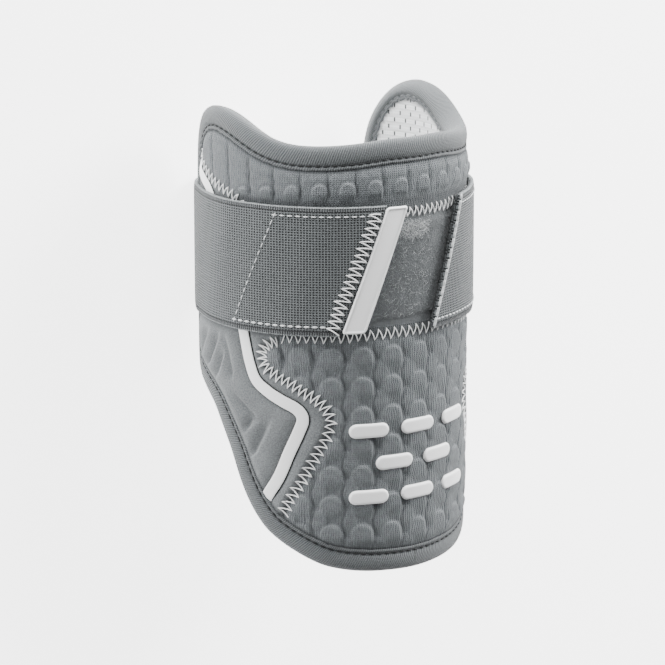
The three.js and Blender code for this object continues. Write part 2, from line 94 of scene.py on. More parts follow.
RIM_SHARES = {
    "nose": [
        (0, -1), (0.118, -0.995), (0.196, -0.988), (0.275, -0.973), (0.33, -0.955),
        (0.376, -0.93), (0.435, -0.889), (0.483, -0.851), (0.53, -0.805), (0.569, -0.747),
        (0.604, -0.679), (0.635, -0.601), (0.682, -0.461), (0.729, -0.36), (0.784, -0.27),
        (0.863, -0.21), (0.925, -0.176), (0.968, -0.127), (0.992, -0.048), (1, 0.07),
    ],
    "lobe": [
        (1, 0.35), (1, 0.6), (0.988, 0.733), (0.965, 0.824), (0.925, 0.903),
        (0.878, 0.957), (0.831, 0.986), (0.769, 1), (0.706, 0.991), (0.643, 0.97),
        (0.58, 0.941), (0.518, 0.915), (0.439, 0.898), (0.353, 0.894), (0.235, 0.901),
        (0.118, 0.914), (0, 0.915),
    ],
}
SEAM_SHARES = {
    "nose": [
        (0.467, -0.733), (0.437, -0.648), (0.406, -0.578), (0.373, -0.495), (0.34, -0.412),
        (0.3145, -0.345), (0.305, -0.298), (0.308, -0.251), (0.328, -0.2085), (0.354, -0.176),
        (0.396, -0.1455), (0.439, -0.108), (0.481, -0.08), (0.516, -0.057), (0.539, -0.018),
        (0.538, 0.029), (0.516, 0.07), (0.478, 0.1),
    ],
    "lobe": [
        (0.51, 0.28), (0.57, 0.46), (0.63, 0.634), (0.698, 0.668), (0.742, 0.687),
        (0.784, 0.706), (0.837, 0.738), (0.872, 0.778), (0.888, 0.85), (0.89, 0.9),
    ],
}
STRIPE_SHARES = {
    "nose": [
        (0.53, -0.665), (0.482, -0.56), (0.444, -0.436), (0.411, -0.333), (0.398, -0.281),
        (0.402, -0.251), (0.422, -0.223), (0.467, -0.194), (0.521, -0.155), (0.565, -0.109),
        (0.591, -0.028), (0.614, 0.099),
    ],
    "lobe": [
        (0.655, 0.3), (0.73, 0.52), (0.8, 0.652), (0.876, 0.706), (0.925, 0.77),
    ],
}

# Pressed folds of a side panel: two ends, as shares of the half wrap angle and the nose's reach, and a force

FOLD_SHARES = [
    (0.794, 0.1, 0.872, -0.051, 0.8), (0.723, 0.1, 0.802, -0.08, 1.0), (0.7, 0.03, 0.746, -0.118, 0.9),
    (0.707, 0.1, 0.667, -0.096, 0.75), (0.675, -0.173, 0.573, -0.277, 0.7),
    (0.57, -0.272, 0.594, -0.335, 0.9), (0.5, -0.265, 0.571, -0.454, 0.9),
]

# Flat layout and its wrap round the arm


def across_of(angle):
    return np.radians(angle) * CORE_RADIUS


def wrap(across, along, radius):
    angle = np.asarray(across, float) / CORE_RADIUS
    points = np.stack([
        radius * np.sin(angle),
        np.asarray(along, float) - MID_LENGTH,
        AXIS_HEIGHT + radius * np.cos(angle),
    ], -1)
    return points * MM


def wrap_line(line, radius):
    return wrap(line[:, 0], line[:, 1], radius)


def slanted(ends, share):
    """Angle of a slanted strap end at a share of the strap's width."""
    return ends[0] + (ends[1] - ends[0]) * share


def strap_share(along):
    return (along - STRAP_BASE) / STRAP_WIDTH


def smooth(low, high, value):
    t = np.clip((value - low) / (high - low), 0, 1)
    return t * t * (3 - 2 * t)


def least(*margins):
    return reduce(np.minimum, margins)


def even_steps(points, closed, step):
    loop = np.vstack([points, points[:1]]) if closed else points
    lengths = np.concatenate([[0], np.cumsum(np.linalg.norm(np.diff(loop, axis=0), axis=1))])
    count = max(2, int(round(lengths[-1] / step)))
    at = np.linspace(0, lengths[-1], count, endpoint=False) if closed else np.linspace(0, lengths[-1], count)
    return np.stack([np.interp(at, lengths, loop[:, k]) for k in range(loop.shape[1])], -1)


def spline(points, closed=False, step=0.5):
    """A centripetal curve through the points, walked in even steps."""
    p = np.array(points, float)
    if closed:
        q = np.vstack([p[-1], p, p[0], p[1]])
    else:
        q = np.vstack([2 * p[0] - p[1], p, 2 * p[-1] - p[-2]])
    u = np.linspace(0, 1, 20, endpoint=False)[:, None]
    pieces = []
    for i in range(1, len(q) - 2):
        a, b, c, d = q[i - 1:i + 3]
        t0, t1, t2 = (math.sqrt(np.linalg.norm(y - x)) for x, y in ((a, b), (b, c), (c, d)))
        start = t1 * ((b - a) / t0 - (c - a) / (t0 + t1) + (c - b) / t1)
        end = t1 * ((c - b) / t1 - (d - b) / (t1 + t2) + (d - c) / t2)
        pieces.append(
            (2 * u**3 - 3 * u**2 + 1) * b + (u**3 - 2 * u**2 + u) * start
            + (3 * u**2 - 2 * u**3) * c + (u**3 - u**2) * end
        )
    if not closed:
        pieces.append(p[-1:])
    return even_steps(np.vstack(pieces), closed, step)


def with_sideways(line):
    """The unit steps ahead along an open flat line, and to its left."""
    ahead = np.gradient(line, axis=0)
    ahead /= np.linalg.norm(ahead, axis=1)[:, None]
    return ahead, np.stack([-ahead[:, 1], ahead[:, 0]], -1)


def loop_sideways(line):
    """The unit steps to the left of a closed flat line."""
    ahead = np.roll(line, -1, 0) - np.roll(line, 1, 0)
    ahead /= np.linalg.norm(ahead, axis=1)[:, None]
    return np.stack([-ahead[:, 1], ahead[:, 0]], -1)


def share_points(shares, side=1):
    points = []
    for kind, reach in (("nose", NOSE_REACH), ("lobe", LOBE_REACH)):
        points += [(side * across_of(turn * WRAP_HALF_ANGLE), share * reach) for turn, share in shares[kind]]
    return points


def settled_rim():
    """The rim's line, let out a little at the lower sides and slid down a little at the front."""
    line = spline(share_points(RIM_SHARES) + share_points(RIM_SHARES, -1)[1:-1][::-1], closed=True, step=1.0)
    outwards = -loop_sideways(line)
    sides = smooth(45, 80, np.abs(line[:, 0]))[:, None]
    low = 1 - smooth(0, 40, line[:, 1])[:, None]
    return line + SIDE_EASE * sides * low * outwards + np.array([0, -FRONT_SLIDE]) * (1 - sides)


RIM = settled_rim()
SEAM = spline(share_points(SEAM_SHARES))
STRIPE = spline(share_points(STRIPE_SHARES))


def polyline_distance(across, along, line, closed=False):
    """Distance of each flat point from a polyline, in blocks that fit in memory."""
    ends = np.vstack([line, line[:1]]) if closed else line
    a, b = ends[:-1], ends[1:]
    span = b - a
    square = (span**2).sum(1)
    points = np.stack([np.ravel(across), np.ravel(along)], -1)
    nearest = np.empty(len(points))
    block = 4000
    for k in range(0, len(points), block):
        p = points[k:k + block, None, :]
        t = np.clip(((p - a) * span).sum(2) / square, 0, 1)
        nearest[k:k + block] = np.sqrt((((p - a) - t[..., None] * span)**2).sum(2).min(1))
    return nearest.reshape(np.shape(across))


def inside_loop(across, along, loop):
    inside = np.zeros(np.shape(across), bool)
    for a, b in zip(loop, np.roll(loop, -1, 0)):
        crosses = (a[1] > along) != (b[1] > along)
        if not crosses.any():
            continue
        at = a[0] + (along - a[1]) * (b[0] - a[0]) / (b[1] - a[1])
        inside ^= crosses & (across < at)
    return inside


def rim_depth(across, along):
    """How far a flat point lies inside the rim, negative outside."""
    distance = polyline_distance(across, along, RIM, closed=True)
    return np.where(inside_loop(across, along, RIM), distance, -distance)


def seam_across(along):
    return np.interp(along, SEAM[:, 1], SEAM[:, 0])


def seam_side(across, along):
    """Distance from the seam, positive towards the front of the guard."""
    reach = np.abs(across)
    distance = polyline_distance(reach, along, SEAM)
    return np.where(reach < seam_across(along), distance, -distance)


def loop_top(across):
    return STRAP_TOP - 4 + 3 * (across / across_of(80))**2


def loop_base(across):
    return STRAP_BASE - 1.6 + 1.6 * (1 - (np.abs(across) / across_of(61))**2)


# Relief of the facing: quilted scales, pressed folds, seams, and the dip under strap and tape, and the shade
# and highlights painted onto it

SCALE_HEIGHT = 1.02
SCALE_PITCH_ACROSS = 11.3
SCALE_PITCH_ALONG = 11.5
SCALE_SHIFT_ALONG = 0.95
SCALE_HALF_WIDTH = 4.4
SCALE_HALF_HEIGHT = 4.8
LOW_SCALE_HALF_WIDTH = 3.9
COLUMN_SCALE_HALF_WIDTH = 3.1
COLUMN_SCALE_HALF_HEIGHT = 4.4
COLUMN_PITCH = 10.0
COLUMN_SHIFT = 2.0
COLUMN_TOP = 69.6


def wrapped(value, pitch):
    return value - pitch * np.round(value / pitch)


def crown_of(u, v):
    return (np.abs(u)**2.5 + np.maximum(v, 0)**2.1)**(1 / 2.3)


def scale_form(u, v):
    """One pressed scale: a round top edge, straight sides, and a foot that fades out."""
    crisp = 1 - smooth(0.8, 1.04, crown_of(u, v))
    foot = 1 - smooth(0.1, 1.35, -v)
    return crisp * foot * (0.78 + 0.22 * u)


def scale_crease_shade(u, v):
    """Painted shade along the fold that runs round the top of a scale."""
    return np.exp(-((crown_of(u, v) - 1.1) / 0.11)**2) * smooth(-1.0, 0.2, v)


def scale_painted_highlight(u, v):
    """A painted highlight along the rim of a scale, just inside the shade round its top."""
    return np.exp(-((crown_of(u, v) - 0.86) / 0.13)**2) * smooth(-0.9, 0.2, v)


def one_scale(u, v):
    return scale_form(u, v), scale_crease_shade(u, v), scale_painted_highlight(u, v)


def lower_scales(across, along):
    u = wrapped(across, SCALE_PITCH_ACROSS)
    v = wrapped(along - SCALE_SHIFT_ALONG, SCALE_PITCH_ALONG)
    high, crease_shade, painted_highlight = one_scale(u / SCALE_HALF_WIDTH, v / SCALE_HALF_HEIGHT)
    bulge = 4.75 + 0.65 * np.cos(2 * math.pi * (v + 1) / SCALE_PITCH_ALONG)
    groove = np.exp(-((wrapped(u - bulge, SCALE_PITCH_ACROSS)) / 0.48)**2)
    u = wrapped(across + 0.45 * SCALE_PITCH_ACROSS, SCALE_PITCH_ACROSS)
    v = wrapped(along - SCALE_SHIFT_ALONG - SCALE_PITCH_ALONG / 2, SCALE_PITCH_ALONG)
    low, low_crease_shade, _ = one_scale(u / LOW_SCALE_HALF_WIDTH, v / SCALE_HALF_HEIGHT)
    low = 0.56 * low
    low_crease_shade = low_crease_shade * (1 - smooth(0.1, 0.4, high))
    relief = np.maximum(high, low) - 0.4 * groove
    # Painted shade in the grooves and round the scale tops, less a painted highlight on their rims.
    painted_shading_and_pile = 0.4 * groove + 0.18 * crease_shade * (1 - smooth(0.2, 0.6, low)) + 0.08 * low_crease_shade
    return relief, painted_shading_and_pile - 0.09 * painted_highlight


def upper_scales(across, along):
    u = wrapped(across - COLUMN_SHIFT, COLUMN_PITCH)
    v = along - (COLUMN_TOP - 4.8 * (across / 70)**2 - 4.4)
    crown, crease_shade, painted_highlight = one_scale(u / COLUMN_SCALE_HALF_WIDTH, v / COLUMN_SCALE_HALF_HEIGHT)
    lean = 3.5 - 0.06 * (v + 4) + 0.14 * np.sin(v * 1.1 + across)
    gap = wrapped(u - lean, COLUMN_PITCH)
    column = 0.5 * smooth(0.1, 1.5, np.abs(gap))
    groove = np.exp(-(gap / 0.38)**2)
    relief = np.maximum(column, 0.3 + 1.1 * crown) - 0.4 * groove
    # Painted shade in the grooves and round the scale tops, less a painted highlight on their rims.
    return relief, 0.7 * groove + 0.3 * crease_shade - 0.12 * painted_highlight


def folds(across, along):
    drop = np.zeros(np.shape(across))
    for turn_a, nose_a, turn_b, nose_b, force in FOLD_SHARES:
        a = np.array([across_of(turn_a * WRAP_HALF_ANGLE), nose_a * NOSE_REACH])
        b = np.array([across_of(turn_b * WRAP_HALF_ANGLE), nose_b * NOSE_REACH])
        span = b - a
        t = ((np.abs(across) - a[0]) * span[0] + (along - a[1]) * span[1]) / (span @ span)
        t = np.clip(t, 0, 1)
        du = np.abs(across) - a[0] - t * span[0]
        dv = along - a[1] - t * span[1]
        distance = np.hypot(du, dv)
        side = (du * span[1] - dv * span[0]) / np.linalg.norm(span)
        steep = np.exp(-(distance / np.where(side > 0, 0.75, 2.8))**2)
        drop = np.maximum(drop, force * steep * smooth(0, 0.7, 0.12 + t))
    return drop


def press(along):
    below = smooth(0.5, 5, STRAP_BASE - along)
    above = smooth(0.5, 5, along - STRAP_TOP)
    return np.maximum(below, above)


def facing_form(across, along):
    """Outer face of the facing panels at a flat point, and the painted shade and highlight for that point."""
    depth = rim_depth(across, along)
    side = seam_side(across, along)
    held = smooth(TAPE_OUTER_LEG - 0.6, TAPE_OUTER_LEG + 5, depth)
    free = press(along)
    radius = TAPE_RADIUS - 0.1 + (FACING_RADIUS + 0.2 - TAPE_RADIUS) * held
    front = smooth(0.2, 4.0, side)
    upper = along > (STRAP_BASE + STRAP_TOP) / 2
    upper_relief, upper_painted_shading = upper_scales(across, along)
    lower_relief, lower_painted_shading = lower_scales(across, along)
    shown = held * free * front
    radius = radius + SCALE_HEIGHT * shown * np.where(upper, upper_relief, lower_relief)
    painted_shading_and_pile = np.clip(shown * np.where(upper, upper_painted_shading, lower_painted_shading), -1, 1)
    wing = smooth(0.2, 3.0, -side)
    stripe = polyline_distance(np.abs(across), along, STRIPE)
    inlay = np.exp(-((stripe - STRIPE_WIDTH / 2 - 0.2) / 0.6)**2)
    puff = 0.8 * smooth(0.0, 5.0, stripe - STRIPE_WIDTH / 2)
    pressed = folds(across, along)
    radius = radius + wing * held * (0.15 + puff * free - 1.75 * free * pressed - 0.5 * inlay)
    valley = np.exp(-(side / 1.3)**2)
    radius = radius - 0.6 * valley * free
    from_strap = np.maximum(STRAP_BASE - along, along - STRAP_TOP)
    # Painted shade: in the pressed folds, under the tape's lip, beside the strap and along the seam.
    painted_shade_values = np.maximum(wing * free * 0.85 * pressed**3, 0.95 * (1 - smooth(9.0, 10.3, depth)))
    painted_shade_values = np.maximum(painted_shade_values, 0.7 * (1 - smooth(0.3, 2.6, from_strap)))
    painted_shade_values = np.maximum(painted_shade_values, 0.35 * np.exp(-(side / 0.7)**2))
    return radius, np.where(painted_shade_values > 0.02, np.maximum(painted_shading_and_pile, painted_shade_values), painted_shading_and_pile)


def facing_radius(across, along):
    return facing_form(across, along)[0]


# Meshes


def mesh_object(name, points, faces, flat=None, painted_shading_and_pile=None):
    mesh = bpy.data.meshes.new(name)
    mesh.from_pydata([tuple(p) for p in points], [], [tuple(int(i) for i in f) for f in faces])
    if flat is not None:
        layer = mesh.uv_layers.new(name="flat")
        index = np.empty(len(mesh.loops), int)
        mesh.loops.foreach_get("vertex_index", index)
        layer.data.foreach_set("uv", (np.asarray(flat)[index] * MM).ravel())
    # Each piece carries one per-point value for its colour: painted shade where it is above zero, a painted
    # highlight where it is below zero, and on the loop patch the mask of its pile.
    painted_shade_values = mesh.attributes.new("painted_shading_and_pile", "FLOAT", "POINT")
    painted_shade_values.data.foreach_set("value", np.zeros(len(mesh.vertices)) if painted_shading_and_pile is None else np.ravel(painted_shading_and_pile))
    mesh.polygons.foreach_set("use_smooth", [True] * len(mesh.polygons))
    piece = bpy.data.objects.new(name, mesh)
    bpy.context.scene.collection.objects.link(piece)
    return piece


def settle(piece):
    """Makes what the modifiers give the piece's own mesh."""
    graph = bpy.context.evaluated_depsgraph_get()
    graph.update()
    mesh = bpy.data.meshes.new_from_object(piece.evaluated_get(graph))
    piece.modifiers.clear()
    old = piece.data
    piece.data = mesh
    bpy.data.meshes.remove(old)
    return piece


def thicken(piece, thickness):
    wall = piece.modifiers.new("wall", "SOLIDIFY")
    wall.thickness = thickness * MM
    wall.offset = -1
    wall.use_even_offset = False
    return settle(piece)


def grid_of(across_range, along_range, step):
    columns = max(2, int(round((across_range[1] - across_range[0]) / step)))
    rows = max(2, int(round((along_range[1] - along_range[0]) / step)))
    return np.meshgrid(np.linspace(*across_range, columns), np.linspace(*along_range, rows), indexing="ij")


def cut_grid(across, along, margin):
    """Keeps the cells of a flat grid that lie inside and draws their edge onto the outline."""
    step = across[1, 0] - across[0, 0]
    rise = along[0, 1] - along[0, 0]
    slope_across, slope_along = np.gradient(margin, step, rise)
    square = np.maximum(slope_across**2 + slope_along**2, 0.2)
    near = margin > -0.7 * step
    cell = near[:-1, :-1] & near[1:, :-1] & near[1:, 1:] & near[:-1, 1:]
    used = np.zeros(margin.shape, int)
    for i in (0, 1):
        for j in (0, 1):
            used[i:used.shape[0] - 1 + i, j:used.shape[1] - 1 + j] += cell
    edge = (used > 0) & (used < 4)
    pull = np.where(edge, margin, 0) / square
    pull = np.clip(pull, -1.2 * step, 1.2 * step)
    across = across - pull * slope_across
    along = along - pull * slope_along
    number = -np.ones(margin.shape, int)
    number[used > 0] = np.arange((used > 0).sum())
    i, j = np.nonzero(cell)
    faces = np.stack([number[i, j], number[i + 1, j], number[i + 1, j + 1], number[i, j + 1]], -1)
    return across[used > 0], along[used > 0], faces


def cut_panel(name, across_range, along_range, step, margin_of, radius_of, thickness):
    across, along = grid_of(across_range, along_range, step)
    flat_across, flat_along, faces = cut_grid(across, along, margin_of(across, along))
    radius = radius_of(flat_across, flat_along)
    radius, painted_shading_and_pile = radius if isinstance(radius, tuple) else (radius, None)
    flat = np.stack([flat_across, flat_along], -1)
    piece = mesh_object(name, wrap(flat_across, flat_along, radius), faces, flat, painted_shading_and_pile)
    return thicken(piece, thickness)


def swept_band(name, rings, flat, closed_path, painted_shading_and_pile=None):
    """A skin over rings of points: rings x corners x 3, with the corners closed round."""
    count, corners, _ = rings.shape
    faces = []
    last = count if closed_path else count - 1
    for i in range(last):
        for j in range(corners):
            k = (j + 1) % corners
            n = (i + 1) % count
            faces.append((i * corners + j, n * corners + j, n * corners + k, i * corners + k))
    if not closed_path:
        faces.append(tuple(range(corners)))
        faces.append(tuple((count - 1) * corners + j for j in reversed(range(corners))))
    piece = mesh_object(name, rings.reshape(-1, 3), faces, flat.reshape(-1, 2), painted_shading_and_pile)
    return face_outwards(piece)


def face_outwards(piece):
    mesh = piece.data
    mesh.calc_loop_triangles()
    corners = np.array([v.co for v in mesh.vertices])
    triangles = np.array([t.vertices for t in mesh.loop_triangles])
    a, b, c = corners[triangles[:, 0]], corners[triangles[:, 1]], corners[triangles[:, 2]]
    if np.einsum("ij,ij->i", a, np.cross(b, c)).sum() < 0:
        mesh.flip_normals()
    return piece


# Node trees


class Graph:
    """A node tree with short calls for its nodes."""

    def __init__(self, tree):
        self.tree = tree

    def add(self, kind, inputs=None, **options):
        """Adds a node, sets its options, fills its inputs with values or links, and gives its outputs."""
        node = self.tree.nodes.new(kind)
        for key, value in options.items():
            setattr(node, key, value)
        for key, value in (inputs or {}).items():
            if isinstance(value, bpy.types.NodeSocket):
                self.tree.links.new(value, node.inputs[key])
            else:
                node.inputs[key].default_value = value
        return node.outputs

    def calc(self, operation, *values):
        return self.add("ShaderNodeMath", dict(enumerate(values)), operation=operation)[0]

    def noise(self, vector, scale, detail=2.0, rough=0.5):
        inputs = {"Vector": vector, "Scale": scale, "Detail": detail, "Roughness": rough}
        return self.add("ShaderNodeTexNoise", inputs)["Fac"]

    def wave(self, value, pitch):
        """A 0 to 1 wave of that pitch along a flat coordinate."""
        angle = self.calc("MULTIPLY", self.calc("DIVIDE", value, pitch), 2 * math.pi)
        return self.calc("MULTIPLY_ADD", self.calc("SINE", angle), 0.5, 0.5)

    def split(self, vector):
        parts = self.add("ShaderNodeSeparateXYZ", {"Vector": vector})
        return parts["X"], parts["Y"]


class Group(Graph):
    """A node group with its sockets, given as label, kind and value."""

    def __init__(self, name, kind, inputs, outputs):
        super().__init__(bpy.data.node_groups.new(name, kind))
        sockets = self.tree.interface
        for label, socket, value in inputs:
            made = sockets.new_socket(label, in_out="INPUT", socket_type="NodeSocket" + socket)
            if value is not None:
                made.default_value = value
        for label, socket in outputs:
            sockets.new_socket(label, in_out="OUTPUT", socket_type="NodeSocket" + socket)
        self.start = self.tree.nodes.new("NodeGroupInput").outputs
        self.end = self.tree.nodes.new("NodeGroupOutput").inputs

    def give(self, results):
        for label, value in results.items():
            self.tree.links.new(value, self.end[label])
        return self.tree


# Threads and stitches, laid by Geometry Nodes along a line of points


def geometry_group(name, inputs):
    inputs = [("Geometry", "Geometry", None), *inputs, ("Material", "Material", None)]
    return Group(name, "GeometryNodeTree", inputs, [("Geometry", "Geometry")])


def painted(group, geometry):
    """Gives the group's tree, which ends with the material that the group is handed."""
    paint = group.add("GeometryNodeSetMaterial", {"Geometry": geometry, "Material": group.start["Material"]})
    return group.give({"Geometry": paint["Geometry"]})


def thread_tree():
    """A round thread swept along the line."""
    group = geometry_group("lay_thread", [("Thread radius", "Float", 0.27 * MM), ("Thread sides", "Int", 6)])
    start = group.start
    curve = group.add("GeometryNodeMeshToCurve", {"Mesh": start["Geometry"]})
    sizes = {"Radius": start["Thread radius"], "Resolution": start["Thread sides"]}
    circle = group.add("GeometryNodeCurvePrimitiveCircle", sizes)
    parts = {"Curve": curve["Curve"], "Profile Curve": circle["Curve"], "Fill Caps": True}
    sweep = group.add("GeometryNodeCurveToMesh", parts)
    shade = group.add("GeometryNodeSetShadeSmooth", {"Geometry": sweep["Mesh"]})
    real = group.add("GeometryNodeRealizeInstances", {"Geometry": shade["Geometry"]})
    return painted(group, real["Geometry"])


def stitch_tree():
    """Short separate stitches set end to end along the line, with a gap between them."""
    group = geometry_group("run_stitches", [
        ("Pitch", "Float", 3.4 * MM),
        ("Stitch length", "Float", 2.1 * MM),
        ("Thread radius", "Float", 0.3 * MM),
    ])
    start = group.start
    curve = group.add("GeometryNodeMeshToCurve", {"Mesh": start["Geometry"]})
    run = {"Curve": curve["Curve"], "Length": start["Pitch"]}
    steps = group.add("GeometryNodeCurveToPoints", run, mode="LENGTH")
    bead = group.add("GeometryNodeMeshUVSphere", {"Segments": 8, "Rings": 6, "Radius": 1.0})
    half = group.calc("MULTIPLY", start["Stitch length"], 0.5)
    thick = start["Thread radius"]
    size = group.add("ShaderNodeCombineXYZ", {"X": thick, "Y": thick, "Z": half})
    place = group.add("GeometryNodeInstanceOnPoints", {
        "Points": steps["Points"],
        "Instance": bead["Mesh"],
        "Rotation": steps["Rotation"],
        "Scale": size["Vector"],
    })
    real = group.add("GeometryNodeRealizeInstances", {"Geometry": place["Instances"]})
    shade = group.add("GeometryNodeSetShadeSmooth", {"Geometry": real["Geometry"]})
    return painted(group, shade["Geometry"])


def fuzz_tree():
    """Short bent fibres scattered over a surface."""
    group = geometry_group("scatter_fibres", [
        ("Density", "Float", 1.2e6),
        ("Fibre length", "Float", 1.5 * MM),
        ("Fibre radius", "Float", 0.05 * MM),
        ("Seed", "Int", 7),
    ])
    start = group.start
    spread = {"Mesh": start["Geometry"], "Density": start["Density"], "Seed": start["Seed"]}
    scatter = group.add("GeometryNodeDistributePointsOnFaces", spread)
    bend = {"Resolution": 3, "Start": (0, 0, 0), "Middle": (0.45, 0, 0.3), "End": (1, 0, 0.05)}
    arc = group.add("GeometryNodeCurveQuadraticBezier", bend)
    thin = group.calc("DIVIDE", start["Fibre radius"], start["Fibre length"])
    circle = group.add("GeometryNodeCurvePrimitiveCircle", {"Resolution": 3, "Radius": thin})
    sweep = group.add("GeometryNodeCurveToMesh", {"Curve": arc["Curve"], "Profile Curve": circle["Curve"]})
    turns = {"Min": (0, 0, 0), "Max": (0, 0, 2 * math.pi), "Seed": start["Seed"]}
    spin = group.add("FunctionNodeRandomValue", turns, data_type="FLOAT_VECTOR")
    vary = group.add("FunctionNodeRandomValue", {2: 0.5, 3: 1.3, "Seed": start["Seed"]})
    angle = group.add("FunctionNodeEulerToRotation", {"Euler": spin["Value"]})
    both = {"Rotation": scatter["Rotation"], "Rotate By": angle["Rotation"]}
    turn = group.add("FunctionNodeRotateRotation", both, rotation_space="LOCAL")
    place = group.add("GeometryNodeInstanceOnPoints", {
        "Points": scatter["Points"],
        "Instance": sweep["Mesh"],
        "Rotation": turn["Rotation"],
        "Scale": group.calc("MULTIPLY", vary[1], start["Fibre length"]),
    })
    real = group.add("GeometryNodeRealizeInstances", {"Geometry": place["Instances"]})
    return painted(group, real["Geometry"])


def run_tree(name, carrier, tree, values):
    """Runs a tree on the carrier and keeps the result as a plain mesh of its own."""
    modifier = carrier.modifiers.new("make", "NODES")
    modifier.node_group = tree
    for item in tree.interface.items_tree:
        if item.in_out == "INPUT" and item.name in values:
            modifier[item.identifier] = values[item.name]
    carrier.update_tag()
    settle(carrier)
    carrier.name = name
    carrier.data.name = name
    return carrier


def line_object(name, lines):
    """One mesh of loose edges that holds several lines of points."""
    points = []
    edges = []
    for line in lines:
        first = len(points)
        points.extend(tuple(p) for p in line)
        edges.extend((first + i, first + i + 1) for i in range(len(line) - 1))
    mesh = bpy.data.meshes.new(name)
    mesh.from_pydata(points, edges, [])
    piece = bpy.data.objects.new(name, mesh)
    bpy.context.scene.collection.objects.link(piece)
    return piece


THREAD = thread_tree()
STITCH = stitch_tree()
FUZZ = fuzz_tree()


def lay_threads(name, lines, radius, material, slot, sides=6):
    values = {"Thread radius": radius * MM, "Thread sides": sides, "Material": material}
    dress(run_tree(name, line_object(name, lines), THREAD, values), None, slot)


def run_stitches(name, line, pitch, length, radius, material, slot):
    values = {
        "Pitch": pitch * MM,
        "Stitch length": length * MM,
        "Thread radius": radius * MM,
        "Material": material,
    }
    dress(run_tree(name, line_object(name, [line]), STITCH, values), None, slot)


ZIGZAG_STEP = 0.3
ZIGZAG_SWAY = 0.08
ZIGZAG_LEG_POINTS = 6
ZIGZAG_LEG_BOW = 0.32


def zigzag(flat_line, pitch, width, radius_of, lift, thread, jitter_seed):
    """A zigzag thread over a flat line: it dips at each turn and rises where it crosses the seam."""
    line = even_steps(flat_line, False, ZIGZAG_STEP)
    pitches = pitch(line[:, 1]) if callable(pitch) else np.full(len(line), pitch)
    turn = np.concatenate([[0], np.cumsum(ZIGZAG_STEP * 2 / pitches[1:])])
    at = np.arange(0, turn[-1])
    steps = np.stack([np.interp(at, turn, line[:, k]) for k in (0, 1)], -1)
    ahead, sideways = with_sideways(steps)
    draw = np.random.default_rng(jitter_seed)
    sway = 1 + draw.normal(0, ZIGZAG_SWAY, len(steps))
    turns = steps + sideways * (np.where(np.arange(len(steps)) % 2, 1, -1) * sway * width / 2)[:, None]
    t = np.linspace(0, 1, ZIGZAG_LEG_POINTS + 1)[:-1]
    bow = np.sin(math.pi * t)
    flat = []
    rise = []
    for a, b, forward in zip(turns[:-1], turns[1:], ahead):
        leg = a + (b - a) * t[:, None] + forward * (bow * ZIGZAG_LEG_BOW)[:, None]
        flat.append(leg)
        rise.append(lift * bow**0.6)
    flat = np.vstack(flat)
    rise = np.concatenate(rise)
    radius = radius_of(flat[:, 0], flat[:, 1])
    soft = np.convolve(np.pad(radius, 3, mode="edge"), np.ones(7) / 7, mode="valid")
    radius = np.maximum(radius, soft) + thread * 0.35 + rise
    return wrap_line(flat, radius)


# Shader groups


def shader_group(name, sizes, results):
    """A group that takes flat coordinates and some sizes, and gives values."""
    inputs = [("Flat", "Vector", None)] + [(label, "Float", size) for label, size in sizes.items()]
    return Group(name, "ShaderNodeTree", inputs, [(label, "Float") for label in results])


def rib_group():
    """Wavy knit ribs with small loops along each one."""
    sizes = {"Rib pitch": 0.88 * MM, "Loop pitch": 0.8 * MM, "Sway": 0.7 * MM}
    group = shader_group("knit_ribs", sizes, ["Height", "Shade"])
    flat = group.start["Flat"]
    u, v = group.split(flat)
    drift = group.calc("SUBTRACT", group.noise(flat, 300.0, 3.0), 0.5)
    sway = group.calc("MULTIPLY", drift, group.calc("MULTIPLY", group.start["Sway"], 3.0))
    ribs = group.wave(group.calc("ADD", u, sway), group.start["Rib pitch"])
    half_loop = group.calc("MULTIPLY", group.start["Loop pitch"], 0.5)
    loops = group.wave(group.calc("MULTIPLY_ADD", ribs, half_loop, v), group.start["Loop pitch"])
    grain = group.noise(flat, 2100.0, 3.0, 0.65)
    patch = group.noise(flat, 420.0, 3.0, 0.6)
    height = group.calc("MULTIPLY_ADD", loops, 0.8, ribs)
    height = group.calc("MULTIPLY_ADD", grain, 0.7, height)
    shade = group.calc("MULTIPLY_ADD", ribs, 0.18, group.calc("MULTIPLY", patch, 0.6))
    shade = group.calc("MULTIPLY_ADD", loops, 0.2, shade)
    shade = group.calc("MULTIPLY_ADD", grain, 1.1, group.calc("SUBTRACT", shade, 0.33))
    return group.give({"Height": height, "Shade": shade})


def weave_group():
    """Woven cells: cords one way, picks the other, with small dark pits between."""
    sizes = {"Cord pitch": 1.0 * MM, "Pick pitch": 1.0 * MM}
    group = shader_group("woven_cells", sizes, ["Height", "Pits", "Grain"])
    flat = group.start["Flat"]
    u, v = group.split(flat)
    wander = group.calc("SUBTRACT", group.noise(flat, 900.0, 1.0), 0.5)
    u = group.calc("MULTIPLY_ADD", wander, 0.16 * MM, u)
    v = group.calc("MULTIPLY_ADD", wander, 0.12 * MM, v)
    cords = group.calc("POWER", group.wave(v, group.start["Cord pitch"]), 0.7)
    picks = group.calc("POWER", group.wave(u, group.start["Pick pitch"]), 0.9)
    height = group.calc("MAXIMUM", cords, picks)
    low = group.calc("SUBTRACT", 1.0, height)
    pits = group.calc("SMOOTH_MAX", group.calc("MULTIPLY_ADD", low, 3.4, -0.3), 0.0, 0.1)
    grain = group.noise(flat, 2200.0, 3.0, 0.6)
    height = group.calc("MULTIPLY_ADD", grain, 0.3, height)
    return group.give({"Height": height, "Pits": pits, "Grain": grain})


